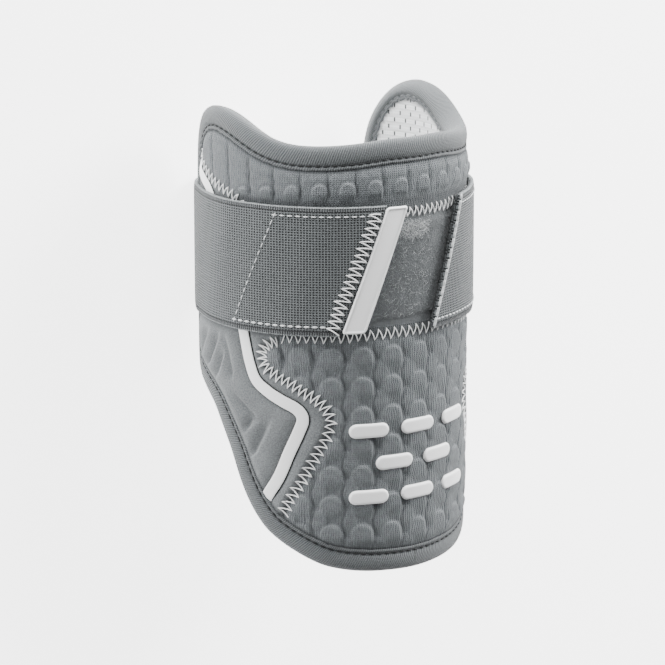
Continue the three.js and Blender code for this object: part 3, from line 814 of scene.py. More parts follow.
def webbing_group():
    """Woven strap with ticked edges: a thin pale rim, cross ticks and a dark line next to the weave."""
    sizes = {"Base": STRAP_BASE * MM, "Top": STRAP_TOP * MM, "Tick pitch": 0.95 * MM}
    group = shader_group("webbing_edges", sizes, ["Edge band", "Ticks", "Gap line", "Rim"])
    u, v = group.split(group.start["Flat"])
    above = group.calc("SUBTRACT", v, group.start["Base"])
    below = group.calc("SUBTRACT", group.start["Top"], v)
    inside = group.calc("MINIMUM", above, below)
    return group.give({
        "Edge band": group.calc("LESS_THAN", inside, 1.75 * MM),
        "Ticks": group.wave(u, group.start["Tick pitch"]),
        "Gap line": group.calc("COMPARE", inside, 1.95 * MM, 0.27 * MM),
        "Rim": group.calc("LESS_THAN", inside, 0.5 * MM),
    })


def twill_group():
    """Fine ribs across a folded tape, a little slanted."""
    group = shader_group("tape_ribs", {"Rib pitch": 0.88 * MM, "Slant": 0.4}, ["Height", "Shade"])
    flat = group.start["Flat"]
    u, v = group.split(flat)
    slanted_u = group.calc("MULTIPLY_ADD", v, group.start["Slant"], u)
    wander = group.calc("SUBTRACT", group.noise(flat, 700.0, 1.0), 0.5)
    ribs = group.wave(group.calc("MULTIPLY_ADD", wander, 0.4 * MM, slanted_u), group.start["Rib pitch"])
    fine = group.wave(v, 0.55 * MM)
    grain = group.noise(flat, 2400.0, 2.0)
    height = group.calc("MULTIPLY_ADD", fine, 0.3, ribs)
    shade = group.calc("MULTIPLY_ADD", grain, 0.6, group.calc("MULTIPLY", ribs, 0.55))
    return group.give({"Height": group.calc("MULTIPLY_ADD", grain, 0.4, height), "Shade": shade})


def mesh_slots_group():
    """Short dark slots in staggered rows, as in perforated lining mesh."""
    sizes = {"Row pitch": 2.8 * MM, "Slot pitch": 6.2 * MM}
    group = shader_group("mesh_slots", sizes, ["Slots", "Rows", "Height"])
    u, v = group.split(group.start["Flat"])

    def lifted(count):
        """Far enough up that a count is never below zero."""
        return group.calc("ADD", count, 1000.0)

    def from_middle(count):
        part = group.calc("FRACT", lifted(count))
        return group.calc("ABSOLUTE", group.calc("SUBTRACT", part, 0.5))

    row = group.calc("DIVIDE", v, group.start["Row pitch"])
    odd = group.calc("MODULO", group.calc("FLOOR", lifted(row)), 2.0)
    column = group.calc("DIVIDE", u, group.start["Slot pitch"])
    column = group.calc("MULTIPLY_ADD", odd, 0.5, column)
    aside = from_middle(column)
    above = from_middle(row)
    slots = group.calc("MULTIPLY", group.calc("LESS_THAN", aside, 0.065), group.calc("LESS_THAN", above, 0.3))
    fine = group.calc("MULTIPLY", group.wave(u, 0.9 * MM), group.wave(v, 1.1 * MM))
    height = group.calc("MULTIPLY_ADD", fine, 0.4, group.wave(v, group.start["Row pitch"]))
    return group.give({
        "Slots": slots,
        "Rows": group.calc("MULTIPLY_ADD", above, -2.0, 1.0),
        "Height": group.calc("SUBTRACT", height, slots),
    })


RIBS = rib_group()
WEAVE = weave_group()
WEBBING = webbing_group()
TWILL = twill_group()
SLOTS = mesh_slots_group()

# Finishes


class Finish(Graph):
    """One material: a Principled shader with its colour, bump and flat coordinates."""

    def __init__(self, name, roughness, sheen=0.0, specular=0.3):
        self.material = bpy.data.materials.new(name)
        self.material.use_nodes = True
        super().__init__(self.material.node_tree)
        self.shader = next(n for n in self.tree.nodes if n.type == "BSDF_PRINCIPLED")
        self.shader.inputs["Roughness"].default_value = roughness
        self.shader.inputs["Sheen Weight"].default_value = sheen
        self.shader.inputs["Sheen Roughness"].default_value = 0.5
        self.shader.inputs["Specular IOR Level"].default_value = specular
        self.flat = self.add("ShaderNodeUVMap", uv_map="flat")["UV"]
        self.place = self.add("ShaderNodeTexCoord")["Object"]

    def group(self, tree, sizes=None):
        return self.add("ShaderNodeGroup", {"Flat": self.flat, **(sizes or {})}, node_tree=tree)

    def mix(self, value, under, over):
        """A colour between two ends, each a colour or a link."""
        ends = [end if isinstance(end, bpy.types.NodeSocket) else (*end, 1) for end in (under, over)]
        return self.add("ShaderNodeMix", {0: value, 6: ends[0], 7: ends[1]}, data_type="RGBA")[2]

    def colour(self, socket):
        self.tree.links.new(socket, self.shader.inputs["Base Color"])

    def bump(self, height, distance):
        normal = self.add("ShaderNodeBump", {"Distance": distance * MM, "Height": height})["Normal"]
        self.tree.links.new(normal, self.shader.inputs["Normal"])

    # The per-point value of painted shade and highlight, which on the loop patch marks its pile instead.
    def painted_shading_and_pile(self):
        return self.add("ShaderNodeAttribute", attribute_name="painted_shading_and_pile")["Fac"]

    def with_painted_shade(self, cloth, share, dark):
        """The cloth, darkened with painted shade where the per-point shade value is high."""
        return self.mix(self.calc("MULTIPLY", self.painted_shading_and_pile(), share), cloth, dark)

    def mottle(self, scale, detail=3.0):
        return self.noise(self.place, scale, detail, 0.6)


def knit_finish():
    look = Finish("knit", 0.9, sheen=0.12)
    ribs = look.group(RIBS)
    cloth = look.mix(ribs["Shade"], (0.018, 0.021, 0.023), (0.158, 0.172, 0.18))
    # Painted highlight on the scale rims, where the per-point value is below zero.
    painted_highlight = look.calc("MULTIPLY", look.painted_shading_and_pile(), -1.0)
    cloth = look.mix(painted_highlight, cloth, (0.36, 0.38, 0.39))
    # Painted shade in the scale grooves, in the folds, along the seams and under the tape and strap.
    look.colour(look.with_painted_shade(cloth, 0.8, (0.014, 0.016, 0.018)))
    look.bump(ribs["Height"], 0.2)
    return look.material


def smooth_cloth_finish():
    look = Finish("smooth_cloth", 0.85, sheen=0.15)
    grain = look.noise(look.flat, 1700.0, 4.0, 0.7)
    patch = look.calc("MULTIPLY", look.mottle(60.0), 0.5)
    shade = look.calc("SUBTRACT", look.calc("MULTIPLY_ADD", grain, 1.5, patch), 0.5)
    cloth = look.mix(shade, (0.036, 0.04, 0.043), (0.222, 0.237, 0.243))
    # Painted shade in the folds, along the seam and under the tape and strap.
    look.colour(look.with_painted_shade(cloth, 0.75, (0.03, 0.034, 0.036)))
    look.bump(grain, 0.32)
    return look.material


def elastic_finish():
    look = Finish("elastic", 0.85, sheen=0.1)
    weave = look.group(WEAVE, {"Cord pitch": 0.98 * MM, "Pick pitch": 1.18 * MM})
    edges = look.group(WEBBING)
    base = look.mix(weave["Grain"], (0.07, 0.076, 0.08), (0.185, 0.2, 0.206))
    woven = look.mix(weave["Pits"], base, (0.004, 0.005, 0.005))
    ticked = look.mix(edges["Ticks"], (0.018, 0.02, 0.022), (0.12, 0.129, 0.133))
    cloth = look.mix(edges["Edge band"], woven, ticked)
    cloth = look.mix(look.calc("MULTIPLY", edges["Gap line"], 0.85), cloth, (0.01, 0.012, 0.013))
    look.colour(look.mix(edges["Rim"], cloth, (0.2, 0.214, 0.22)))
    ridge = look.calc("MULTIPLY_ADD", edges["Ticks"], edges["Edge band"], weave["Height"])
    look.bump(look.calc("SUBTRACT", ridge, edges["Gap line"]), 0.34)
    return look.material


def tape_finish():
    look = Finish("binding_tape", 0.8, sheen=0.15)
    ribs = look.group(TWILL)
    cloth = look.mix(ribs["Shade"], (0.018, 0.021, 0.022), (0.158, 0.17, 0.176))
    # Painted shade from the tape's per-point value: at the stitch line and on the inner leg.
    look.colour(look.with_painted_shade(cloth, 0.85, (0.01, 0.011, 0.012)))
    look.bump(ribs["Height"], 0.2)
    return look.material


def brushed_finish():
    look = Finish("brushed_loop", 0.95, sheen=0.2)
    patch = look.mottle(220.0, 5.0)
    fine = look.mottle(1500.0, 4.0)
    shade = look.calc("MULTIPLY_ADD", fine, 0.5, look.calc("MULTIPLY", patch, 0.6))
    pile = look.mix(shade, (0.012, 0.014, 0.015), (0.14, 0.15, 0.155))
    border = look.mix(fine, (0.07, 0.076, 0.08), (0.105, 0.114, 0.118))
    look.colour(look.mix(look.painted_shading_and_pile(), border, pile))
    look.bump(shade, 0.5)
    return look.material


def fibre_finish(name, dark, light):
    look = Finish(name, 0.8, sheen=0.1)
    shade = look.mottle(300.0)
    look.colour(look.mix(shade, dark, light))
    return look.material


def foam_finish():
    look = Finish("foam", 0.95)
    cells = look.mottle(1400.0, 2.0)
    look.colour(look.mix(cells, (0.11, 0.12, 0.125), (0.19, 0.2, 0.21)))
    look.bump(cells, 0.2)
    return look.material


def lining_finish():
    look = Finish("lining_mesh", 0.8, sheen=0.2)
    slots = look.group(SLOTS)
    tint = look.mix(look.mottle(180.0), (0.74, 0.75, 0.755), (0.86, 0.868, 0.87))
    # Painted shade under the tape's inner lip.
    tint = look.with_painted_shade(tint, 0.8, (0.05, 0.053, 0.055))
    tint = look.mix(look.calc("MULTIPLY", slots["Rows"], 0.42), tint, (0.42, 0.43, 0.435))
    look.colour(look.mix(slots["Slots"], tint, (0.04, 0.043, 0.045)))
    look.bump(slots["Height"], 0.45)
    return look.material


def pale_finish():
    look = Finish("pale_trim", 0.45, specular=0.4)
    grain = look.mottle(1300.0, 2.0)
    moulded = look.mix(grain, (0.88, 0.886, 0.886), (0.93, 0.935, 0.935))
    # Painted shade along the inside of the tab's rim; the bars carry none.
    look.colour(look.with_painted_shade(moulded, 0.5, (0.4, 0.41, 0.41)))
    look.bump(grain, 0.05)
    return look.material


def film_finish():
    """The stripe: a pale printed film with painted shadow along each cut edge, where it sits in its groove.
    """
    look = Finish("stripe_film", 0.55, specular=0.4)
    grain = look.mottle(1300.0, 2.0)
    film = look.mix(grain, (0.8, 0.808, 0.808), (0.88, 0.886, 0.886))
    _, v = look.split(look.flat)
    aside = look.calc("ABSOLUTE", v)
    # Painted shadow: the film's outer edge and the flange that dips under it are near black.
    cut = look.calc("GREATER_THAN", aside, STRIPE_WIDTH / 2 * 0.985 * MM)
    look.colour(look.mix(cut, film, (0.012, 0.013, 0.014)))
    look.bump(grain, 0.05)
    return look.material


# Hook tape: dark of its own, and kept near black also to stand as painted shadow where it shows past the
# strap's lifted end.
def hook_finish():
    look = Finish("hook_tape", 0.7)
    weave = look.group(WEAVE, {"Cord pitch": 1.3 * MM, "Pick pitch": 1.1 * MM})
    look.colour(look.mix(weave["Height"], (0.01, 0.011, 0.012), (0.045, 0.049, 0.051)))
    look.bump(weave["Height"], 0.25)
    return look.material


def thread_finish(name, dark, light, sheen=0.2):
    look = Finish(name, 0.6, sheen=sheen)
    fibre = look.mottle(2500.0, 2.0)
    look.colour(look.mix(fibre, dark, light))
    look.bump(fibre, 0.08)
    return look.material


KNIT = knit_finish()
SMOOTH_CLOTH = smooth_cloth_finish()
ELASTIC = elastic_finish()
TAPE = tape_finish()
BRUSHED = brushed_finish()
FIBRE = fibre_finish("loop_fibre", (0.09, 0.098, 0.102), (0.22, 0.234, 0.24))
# Pale fibre colour: a painted highlight for fibres that catch the light.
PALE_FIBRE = fibre_finish("raised_fibre", (0.4, 0.42, 0.425), (0.75, 0.765, 0.77))
FOAM = foam_finish()
LINING = lining_finish()
PALE = pale_finish()
STRIPE_FILM = film_finish()
HOOK = hook_finish()
WHITE_THREAD = thread_finish("white_thread", (0.7, 0.71, 0.71), (0.86, 0.865, 0.865))
GREY_THREAD = thread_finish("grey_thread", (0.42, 0.435, 0.44), (0.6, 0.618, 0.625))
DULL_THREAD = thread_finish("dull_thread", (0.07, 0.076, 0.08), (0.12, 0.13, 0.134))
# Near-black thread, partly painted shade for the dents that the stitches sink into.
DARK_THREAD = thread_finish("dark_thread", (0.004, 0.005, 0.005), (0.014, 0.016, 0.017), sheen=0.0)


def dress(piece, material, slot, *nodes):
    if material is not None:
        piece.data.materials.clear()
        piece.data.materials.append(material)
    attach(piece, "root")
    if nodes:
        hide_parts(*nodes)
    return piece


# Padded body and lining

RIM_REACH = float(RIM[:, 0].max())
ALONG_RANGE = (-NOSE_REACH - 1, LOBE_REACH + 1)
ACROSS_RANGE = (-RIM_REACH - 1, RIM_REACH + 1)


def make_core():
    piece = cut_panel(
        "foam_core", ACROSS_RANGE, ALONG_RANGE, 2.0,
        lambda s, y: rim_depth(s, y) - 2.0,
        lambda s, y: np.full(s.shape, CORE_RADIUS),
        CORE_THICKNESS,
    )
    dress(piece, FOAM, "foam", "pad_core")


def make_lining():
    margin = TAPE_INNER_LEG - 1.2
    # The lining carries painted shade that fades out from under the tape's inner lip.
    piece = cut_panel(
        "mesh_lining", ACROSS_RANGE, ALONG_RANGE, 1.2,
        lambda s, y: rim_depth(s, y) - margin,
        lambda s, y: (np.full(s.shape, LINING_RADIUS), 1 - smooth(7.2, 8.8, rim_depth(s, y))),
        LINING_THICKNESS - 0.05,
    )
    dress(piece, LINING, "lining_mesh", "lining")
    inner = LINING_RADIUS - LINING_THICKNESS
    cut = even_steps(RIM, True, 2.0)
    shrink = inner / CORE_RADIUS
    area = 0.5 * abs(np.sum(cut[:, 0] * np.roll(cut[:, 1], -1) - np.roll(cut[:, 0], -1) * cut[:, 1]))
    length = np.linalg.norm(np.diff(np.vstack([cut, cut[:1]]), axis=0), axis=1).sum()
    area = (area - margin * length) * shrink


# Facing panels

PANEL_STEP = 0.52
EDGE_TUCK = TAPE_OUTER_LEG - 1.0
PANEL_WALL = 0.9
PILE_RISE = 0.45
PATCH_BASE_DROP = 1.6


def make_lower_panel():
    def margin(s, y):
        return least(rim_depth(s, y) - EDGE_TUCK, seam_side(s, y), STRAP_BASE + 3 - y)

    reach = across_of(71)
    piece = cut_panel(
        "scale_panel_lower_knit", (-reach, reach), (-NOSE_REACH + 5, STRAP_BASE + 4), PANEL_STEP,
        margin, facing_form, PANEL_WALL,
    )
    dress(piece, KNIT, "knit", "scale_panel_lower")


def make_upper_panel():
    def margin(s, y):
        return least(rim_depth(s, y) - EDGE_TUCK, seam_side(s, y), y - loop_top(s))

    reach = across_of(115)
    piece = cut_panel(
        "scale_panel_upper_knit", (-reach, reach), (STRAP_TOP - 6, LOBE_REACH - 5), PANEL_STEP,
        margin, facing_form, PANEL_WALL,
    )
    dress(piece, KNIT, "knit", "scale_panel_upper")


def make_wing(side, word):
    def margin(s, y):
        return least(rim_depth(s, y) - EDGE_TUCK, -seam_side(s, y))

    span = sorted((side * across_of(38), side * (RIM_REACH + 1)))
    piece = cut_panel(
        f"wing_panel_{word}_cloth", span, (-NOSE_REACH * 0.82, LOBE_REACH - 3), 0.75,
        margin, facing_form, PANEL_WALL,
    )
    dress(piece, SMOOTH_CLOTH, "smooth_cloth", f"wing_panel_{word}")


def pile_margin(across, along):
    """How far a point lies inside the brushed pile, which ends short of the patch's sewn edges."""
    return least(along - (STRAP_BASE + 5.4 + 0.035 * across), loop_top(across) - 3.4 - along)


def make_loop_panel():
    def margin(s, y):
        low = y - (STRAP_BASE - PATCH_BASE_DROP)
        return least(low, loop_top(s) - y, seam_side(s, y), across_of(78) - np.abs(s))

    def form(s, y):
        pile = pile_margin(s, y)
        edge = np.exp(-(pile / 0.5)**2)
        radius = FACING_RADIUS + 0.05 + PILE_RISE * smooth(-0.4, 1.2, pile) - 0.1 * edge
        return radius, smooth(-0.4, 0.4, pile)

    reach = across_of(80)
    piece = cut_panel(
        "loop_panel_cloth", (-reach, reach), (STRAP_BASE - 3, STRAP_TOP), 0.8, margin, form, PANEL_WALL,
    )
    dress(piece, BRUSHED, "brushed_loop", "loop_panel")


def make_fuzz():
    """Fibres stand only on the stretch of the loop patch that the strap leaves open."""
    def bare(s, y):
        share = strap_share(y)
        left = across_of(slanted(STRAP_LEFT_END, share)) + TAB_WIDTH - 1
        right = across_of(slanted(STRAP_RIGHT_END, share)) + 2
        return least(s - left, right - s, pile_margin(s, y) - 0.3)

    def highlit_patch(centre_angle, centre_along, half_width, half_height):
        def margin(s, y):
            reach = np.hypot((s - across_of(centre_angle)) / half_width, (y - centre_along) / half_height)
            return least(bare(s, y), (1 - reach) * half_height)
        return margin

    # Name, where, fibres a square metre, length, radius, seed and material
    patches = [
        ("loop_fibres", bare, 2.2e6, 1.4, 0.025, 7, FIBRE),
        # Pale fibres: painted highlights where loose fibres catch the light, densest near the top middle of
        # the patch.
        ("loop_fibres_highlit", highlit_patch(-2.0, 50.5, 7.0, 5.0), 7.5e6, 1.7, 0.024, 8, PALE_FIBRE),
        ("loop_fibres_highlit_wide", highlit_patch(-8.0, 37.0, 14.0, 22.0), 0.45e6, 1.6, 0.021, 9, PALE_FIBRE),
    ]
    for name, margin, density, length, thickness, seed, material in patches:
        across, along = grid_of((across_of(-40), across_of(30)), (STRAP_BASE, STRAP_TOP), 1.2)
        flat_across, flat_along, faces = cut_grid(across, along, margin(across, along))
        points = wrap(flat_across, flat_along, FACING_RADIUS + PILE_RISE)
        values = {
            "Density": density,
            "Fibre length": length * MM,
            "Fibre radius": thickness * MM,
            "Seed": seed,
            "Material": material,
        }
        piece = run_tree(name, mesh_object(name, points, faces), FUZZ, values)
        dress(piece, None, "brushed_loop")


# Pale stripe let into each side panel


def make_stripe(side, word):
    line = STRIPE * np.array([side, 1])
    _, sideways = with_sideways(line)
    depth = rim_depth(line[:, 0], line[:, 1])
    kept = depth > TAPE_OUTER_LEG + 0.4
    line, sideways = line[kept], sideways[kept]
    middle = facing_radius(line[:, 0], line[:, 1])
    walk = np.arange(len(line)) * 0.5
    # The outer rings flare past the film and dip under the facing, to carry the painted shadow at the cut
    # edges.
    half = [(1.16, -0.7), (1.14, -0.02), (1.0, 0.0), (0.95, 0.12), (0.85, 0.18), (0.45, 0.21)]
    edge = [(-share, lift) for share, lift in half] + [(0, 0.22)] + half[::-1]
    rings = []
    flat = []
    for share, lift in edge:
        points = line + sideways * (share * STRIPE_WIDTH / 2)
        rings.append(wrap_line(points, middle + lift))
        flat.append(np.stack([walk, np.full(len(line), share * STRIPE_WIDTH / 2)], -1))
    piece = swept_band(
        f"accent_stripe_{word}_film", np.stack(rings, 1), np.stack(flat, 1), closed_path=False,
    )
    dress(piece, STRIPE_FILM, "pale_trim", f"accent_stripe_{word}")


# Folded tape round the rim: its section is given as depth from the rim and radius

TAPE_SECTION = [
    (8.9, 51.05), (8.8, 51.6), (8.45, 51.8), (8.0, 51.72), (7.65, 51.5), (7.35, 51.36), (7.05, 51.34),
    (6.7, 51.46), (6.2, 51.7), (5.2, 51.9), (4.0, 51.95), (2.8, 51.88), (1.7, 51.65), (0.8, 51.25),
    (0.2, 50.6), (-0.1, 49.8), (0.0, 48.8), (0.3, 47.7), (0.7, 46.5), (1.2, 45.3), (1.8, 44.2),
    (2.5, 43.5), (3.4, 43.05), (4.2, 42.95), (4.9, 43.1), (5.3, 43.3), (5.6, 43.3), (5.9, 43.1),
    (6.3, 42.95), (6.8, 43.05), (7.1, 43.5), (6.8, 44.2), (4.5, 44.5), (2.4, 45.0), (2.0, 47.3),
    (2.0, 49.6), (4.5, 50.1), (8.2, 50.5),
]
STITCH_DEPTH = 7.2
OUTER_STITCH_RADIUS = 51.48
INNER_STITCH_DEPTH = 5.45
INNER_STITCH_RADIUS = 43.2
TAPE_STEP = 0.9


def rim_frame(step):
    line = even_steps(RIM, True, step)
    return line, loop_sideways(line)


def make_tape():
    line, inwards = rim_frame(TAPE_STEP)
    bend = np.roll(inwards, -3, 0) - np.roll(inwards, 3, 0)
    tight = np.clip(np.linalg.norm(bend, axis=1) / 0.35, 0, 1)
    walk = np.arange(len(line)) * TAPE_STEP
    pucker = tight * (0.38 * np.sin(walk * 1.3) + 0.22 * np.sin(walk * 2.3 + 1)) + 0.05 * np.sin(walk * 0.7)
    rings = []
    flat = []
    painted_shading_and_pile = []
    girth = 0.0
    last = TAPE_SECTION[0]
    for depth, radius in TAPE_SECTION:
        girth += math.hypot(depth - last[0], radius - last[1])
        last = (depth, radius)
        lip = smooth(7.3, 8.6, depth) if radius > 50 else 1.6 * smooth(5.0, 6.8, depth)
        points = line + inwards * (depth + pucker * lip)[:, None]
        rise = 0.25 * np.abs(pucker) * lip * (1 if radius > 50 else -1)
        rings.append(wrap_line(points, radius + rise))
        flat.append(np.stack([walk, np.full(len(line), girth)], -1))
        # Painted shade: a dark line in the stitch groove on the outer leg, and the inner half of the inner
        # leg darkened.
        groove = 0.8 * math.exp(-((depth - STITCH_DEPTH) / 0.4)**2)
        inside = 0.5 * smooth(2.5, 5.2, depth) * (1 - smooth(5.7, 6.3, depth))
        painted_shading_and_pile.append(np.full(len(line), groove if radius > 50 else inside))
    piece = swept_band("edge_binding_tape", np.stack(rings, 1), np.stack(flat, 1), True, np.stack(painted_shading_and_pile, 1))
    dress(piece, TAPE, "binding_tape", "edge_binding")


def make_tape_stitches():
    line, inwards = rim_frame(TAPE_STEP)
    outer = line + inwards * STITCH_DEPTH
    inner = line + inwards * INNER_STITCH_DEPTH
    rows = [
        # The outer row's near-black thread is partly painted shade: it stands for the dents the stitches sink
        # into as well as the dark thread.
        ("edge_binding_stitches", wrap_line(outer, OUTER_STITCH_RADIUS), DARK_THREAD),
        ("edge_binding_stitches_inside", wrap_line(inner, INNER_STITCH_RADIUS), DULL_THREAD),
    ]
    for name, points, material in rows:
        line = np.vstack([points, points[:1]])
        run_stitches(name, line, 3.2, 2.3, 0.36, material, "binding_tape")


# Strap


def strap_lengths():
    bend_centre = STRAP_RADIUS - STRAP_BEND_RADIUS
    bend = math.acos((AXIS_HEIGHT - STRAP_BEND_RADIUS) / bend_centre)
    arc = (math.pi - bend) * STRAP_RADIUS
    return bend_centre, bend, arc, arc + bend * STRAP_BEND_RADIUS, bend_centre * math.sin(bend)


BEND_CENTRE, BEND_TURN, ARC_LENGTH, BEND_END, FLAT_HALF = strap_lengths()
STRAP_HALF = BEND_END + FLAT_HALF


def strap_wrap(way, along, lift):
    """Places a point of the strap: way runs from the front round the right side to the back and on."""
    way = np.where(way > STRAP_HALF, way - 2 * STRAP_HALF, way)
    side = np.where(way < 0, -1.0, 1.0)
    length = np.abs(way)
    angle = length / STRAP_RADIUS
    radius = STRAP_RADIUS - lift
    x = radius * np.sin(angle)
    z = AXIS_HEIGHT + radius * np.cos(angle)
    turn = math.pi - BEND_TURN + (length - ARC_LENGTH) / STRAP_BEND_RADIUS
    centre_x = BEND_CENTRE * math.sin(BEND_TURN)
    centre_z = AXIS_HEIGHT - BEND_CENTRE * math.cos(BEND_TURN)
    bent = STRAP_BEND_RADIUS - lift
    on_bend = length > ARC_LENGTH
    x = np.where(on_bend, centre_x + bent * np.sin(turn), x)
    z = np.where(on_bend, centre_z + bent * np.cos(turn), z)
    on_flat = length > BEND_END
    x = np.where(on_flat, FLAT_HALF - (length - BEND_END), x)
    z = np.where(on_flat, lift, z)
    return np.stack([side * x, along - MID_LENGTH, z], -1) * MM


def strap_way(angle):
    return math.radians(angle) * STRAP_RADIUS


def strap_end(ends, share):
    return np.radians(slanted(ends, share)) * STRAP_RADIUS


STRAP_PEEL = 1.7
PEEL_FADE = 7.0
STRAP_HUG = 1.7


def strap_lift(way, share):
    """How far the strap's outer face lies below its nominal face: soft waves, and a lifted right end."""
    length = np.abs(np.where(way > STRAP_HALF, way - 2 * STRAP_HALF, way))
    on_side = smooth(strap_way(82), strap_way(112), length)
    hug = STRAP_HUG * on_side * (1 - smooth(ARC_LENGTH + 2, BEND_END, length))
    from_right = way - strap_end(STRAP_RIGHT_END, share)
    peel = -STRAP_PEEL * np.exp(-from_right / PEEL_FADE)
    waves = 0.12 * np.sin(way * 0.11 + share * 3) + 0.08 * np.sin(way * 0.31 - share * 5)
    edge = 0.35 * (np.exp(-share * STRAP_WIDTH / 1.2) + np.exp(-(1 - share) * STRAP_WIDTH / 1.2))
    flat = 1 - smooth(ARC_LENGTH - 10, ARC_LENGTH, length)
    return peel + hug + flat * waves + 0.15 * flat + edge


def make_strap():
    columns = 330
    rows = 64
    share = np.linspace(0, 1, rows)[None, :] * np.ones((columns, 1))
    start = strap_end(STRAP_RIGHT_END, share)
    stop = 2 * STRAP_HALF + strap_end(STRAP_LEFT_END, share)
    way = start + (stop - start) * np.linspace(0, 1, columns)[:, None]
    along = STRAP_BASE + share * STRAP_WIDTH
    points = strap_wrap(way, along, strap_lift(way, share))
    number = np.arange(columns * rows).reshape(columns, rows)
    faces = np.stack([number[:-1, :-1], number[1:, :-1], number[1:, 1:], number[:-1, 1:]], -1).reshape(-1, 4)
    flat = np.stack([way, along], -1).reshape(-1, 2)
    piece = mesh_object("strap_webbing", points.reshape(-1, 3), faces, flat)
    thicken(piece, STRAP_THICKNESS - 0.35)
    dress(piece, ELASTIC, "elastic", "strap")


def strap_line(points, lift):
    """A line drawn on the strap's outer face through points given as (angle, share of the width)."""
    way = np.array([strap_way(angle) for angle, _ in points])
    share = np.array([s for _, s in points])
    line = even_steps(np.stack([way, share * STRAP_WIDTH], -1), False, 0.8)
    way, share = line[:, 0], line[:, 1] / STRAP_WIDTH
    around = np.where(way < strap_end(STRAP_RIGHT_END, share) - 1, way + 2 * STRAP_HALF, way)
    return strap_wrap(around, STRAP_BASE + share * STRAP_WIDTH, strap_lift(around, share) - lift)


def strap_radius(across, along):
    """Outer face of the strap's left end as a radius, for threads that are laid flat."""
    share = strap_share(along)
    way = across / CORE_RADIUS * STRAP_RADIUS
    return STRAP_RADIUS - strap_lift(way + 2 * STRAP_HALF, share)


def make_strap_stitches():
    # Name, ends as angle and share of the strap's width, pitch, stitch length, thread radius and lift
    box = [
        ("top", [(-61.5, 0.925), (-23.5, 0.925)], 2.85, 2.1, 0.26, 0.1),
        ("slant", [(-61.5, 0.925), (-80.5, 0.075)], 3.1, 2.2, 0.27, 0.1),
        ("base", [(-80.5, 0.075), (-42.0, 0.075)], 2.85, 2.3, 0.42, 0.05),
        ("end_base", [(7.5, 0.07), (60, 0.07)], 2.6, 2.0, 0.36, 0.05),
        ("end_top", [(23.5, 0.93), (75, 0.93)], 2.6, 2.0, 0.3, 0.05),
    ]
    for name, points, pitch, length, thickness, lift in box:
        line = strap_line(points, lift)
        run_stitches(f"strap_stitches_{name}", line, pitch, length, thickness, GREY_THREAD, "elastic")


def make_strap_cord():
    """The bound edge of the strap's lifted end."""
    share = np.linspace(0.005, 0.995, 90)
    wobble = 0.14 * np.sin(share * 160) + 0.1 * np.sin(share * 87)
    way = strap_end(STRAP_RIGHT_END, share) + 0.25 + wobble
    lift = strap_lift(way, share) + 0.25 + 0.6 * wobble
    line = strap_wrap(way, STRAP_BASE + share * STRAP_WIDTH, lift)
    lay_threads("strap_end_cord", [line], 0.5, GREY_THREAD, "elastic", sides=8)


def make_tab_zigzag():
    base = across_of(STRAP_LEFT_END[0]) - 3.1
    top = across_of(STRAP_LEFT_END[1]) - 3.4
    line = np.array([(base, STRAP_BASE + 1.5), (top, STRAP_TOP - 2.5)])
    lines = [zigzag(line, 2.65, 5.0, strap_radius, 0.2, 0.27, 3)]
    lay_threads("tab_zigzag_thread", lines, 0.27, WHITE_THREAD, "pale_trim")


def make_tab():
    left_base = across_of(STRAP_LEFT_END[0]) + 0.2
    left_top = across_of(STRAP_LEFT_END[1]) + 0.2
    slope = (left_top - left_base) / STRAP_WIDTH
    normal = math.hypot(1, slope)
    corner = 1.3
    low, high = STRAP_BASE + 1.0, STRAP_TOP - 0.8

    def margin(s, y):
        x = (s - (left_base + slope * (y - STRAP_BASE)) - TAB_WIDTH / 2) / normal
        half_x = TAB_WIDTH / 2 / normal - corner
        half_y = (high - low) / 2 - corner
        dx = np.abs(x) - half_x
        dy = np.abs(y - (low + high) / 2) - half_y
        outside = np.hypot(np.maximum(dx, 0), np.maximum(dy, 0)) + np.minimum(np.maximum(dx, dy), 0)
        return corner - outside

    def radius(s, y):
        edge = margin(s, y)
        rim = smooth(0.0, 0.35, edge) * (1 - smooth(0.7, 1.1, edge))
        radius = STRAP_RADIUS - 0.45 + 0.35 * smooth(-0.1, 0.5, edge) + 0.4 * rim
        # Painted shade: a dark line inside the raised rim, and a faint darkening of the face.
        return radius, np.maximum(smooth(0.8, 1.1, edge) * 0.06, np.exp(-((edge - 1.05) / 0.22)**2))

    piece = cut_panel(
        "pull_tab_moulding", (across_of(-40), across_of(-2)), (low - 1, high + 1), 0.3, margin, radius, 1.3,
    )
    dress(piece, PALE, "pale_trim", "pull_tab")


HOOK_REACH = 31.0
HOOK_INSET = 0.6


def make_hook(side, word, ends, shift):
    def margin(s, y):
        share = strap_share(y)
        near = side * (s - across_of(slanted(ends, share))) + shift
        return least(near, HOOK_REACH - near, y - STRAP_BASE - HOOK_INSET, STRAP_TOP - HOOK_INSET - y)

    def radius(s, y):
        share = strap_share(y)
        way = np.abs(s / CORE_RADIUS * STRAP_RADIUS - strap_end(ends, share))
        peel = STRAP_PEEL * np.exp(-way / PEEL_FADE) if side > 0 else 0.0
        return STRAP_RADIUS - STRAP_THICKNESS + 0.05 + peel

    span = sorted((side * across_of(-5), side * across_of(76)))
    if side < 0:
        span = (across_of(-76), across_of(-10))
    piece = cut_panel(
        f"hook_patch_{word}_tape", span, (STRAP_BASE, STRAP_TOP), 0.6, margin, radius, 0.9,
    )
    dress(piece, HOOK, "hook_tape", f"hook_patch_{word}")


# Zigzag seams


def seam_pitch(along):
    return 3.15 - 0.65 * smooth(-26, -14, along) - 0.3 * smooth(-6, 0, along)


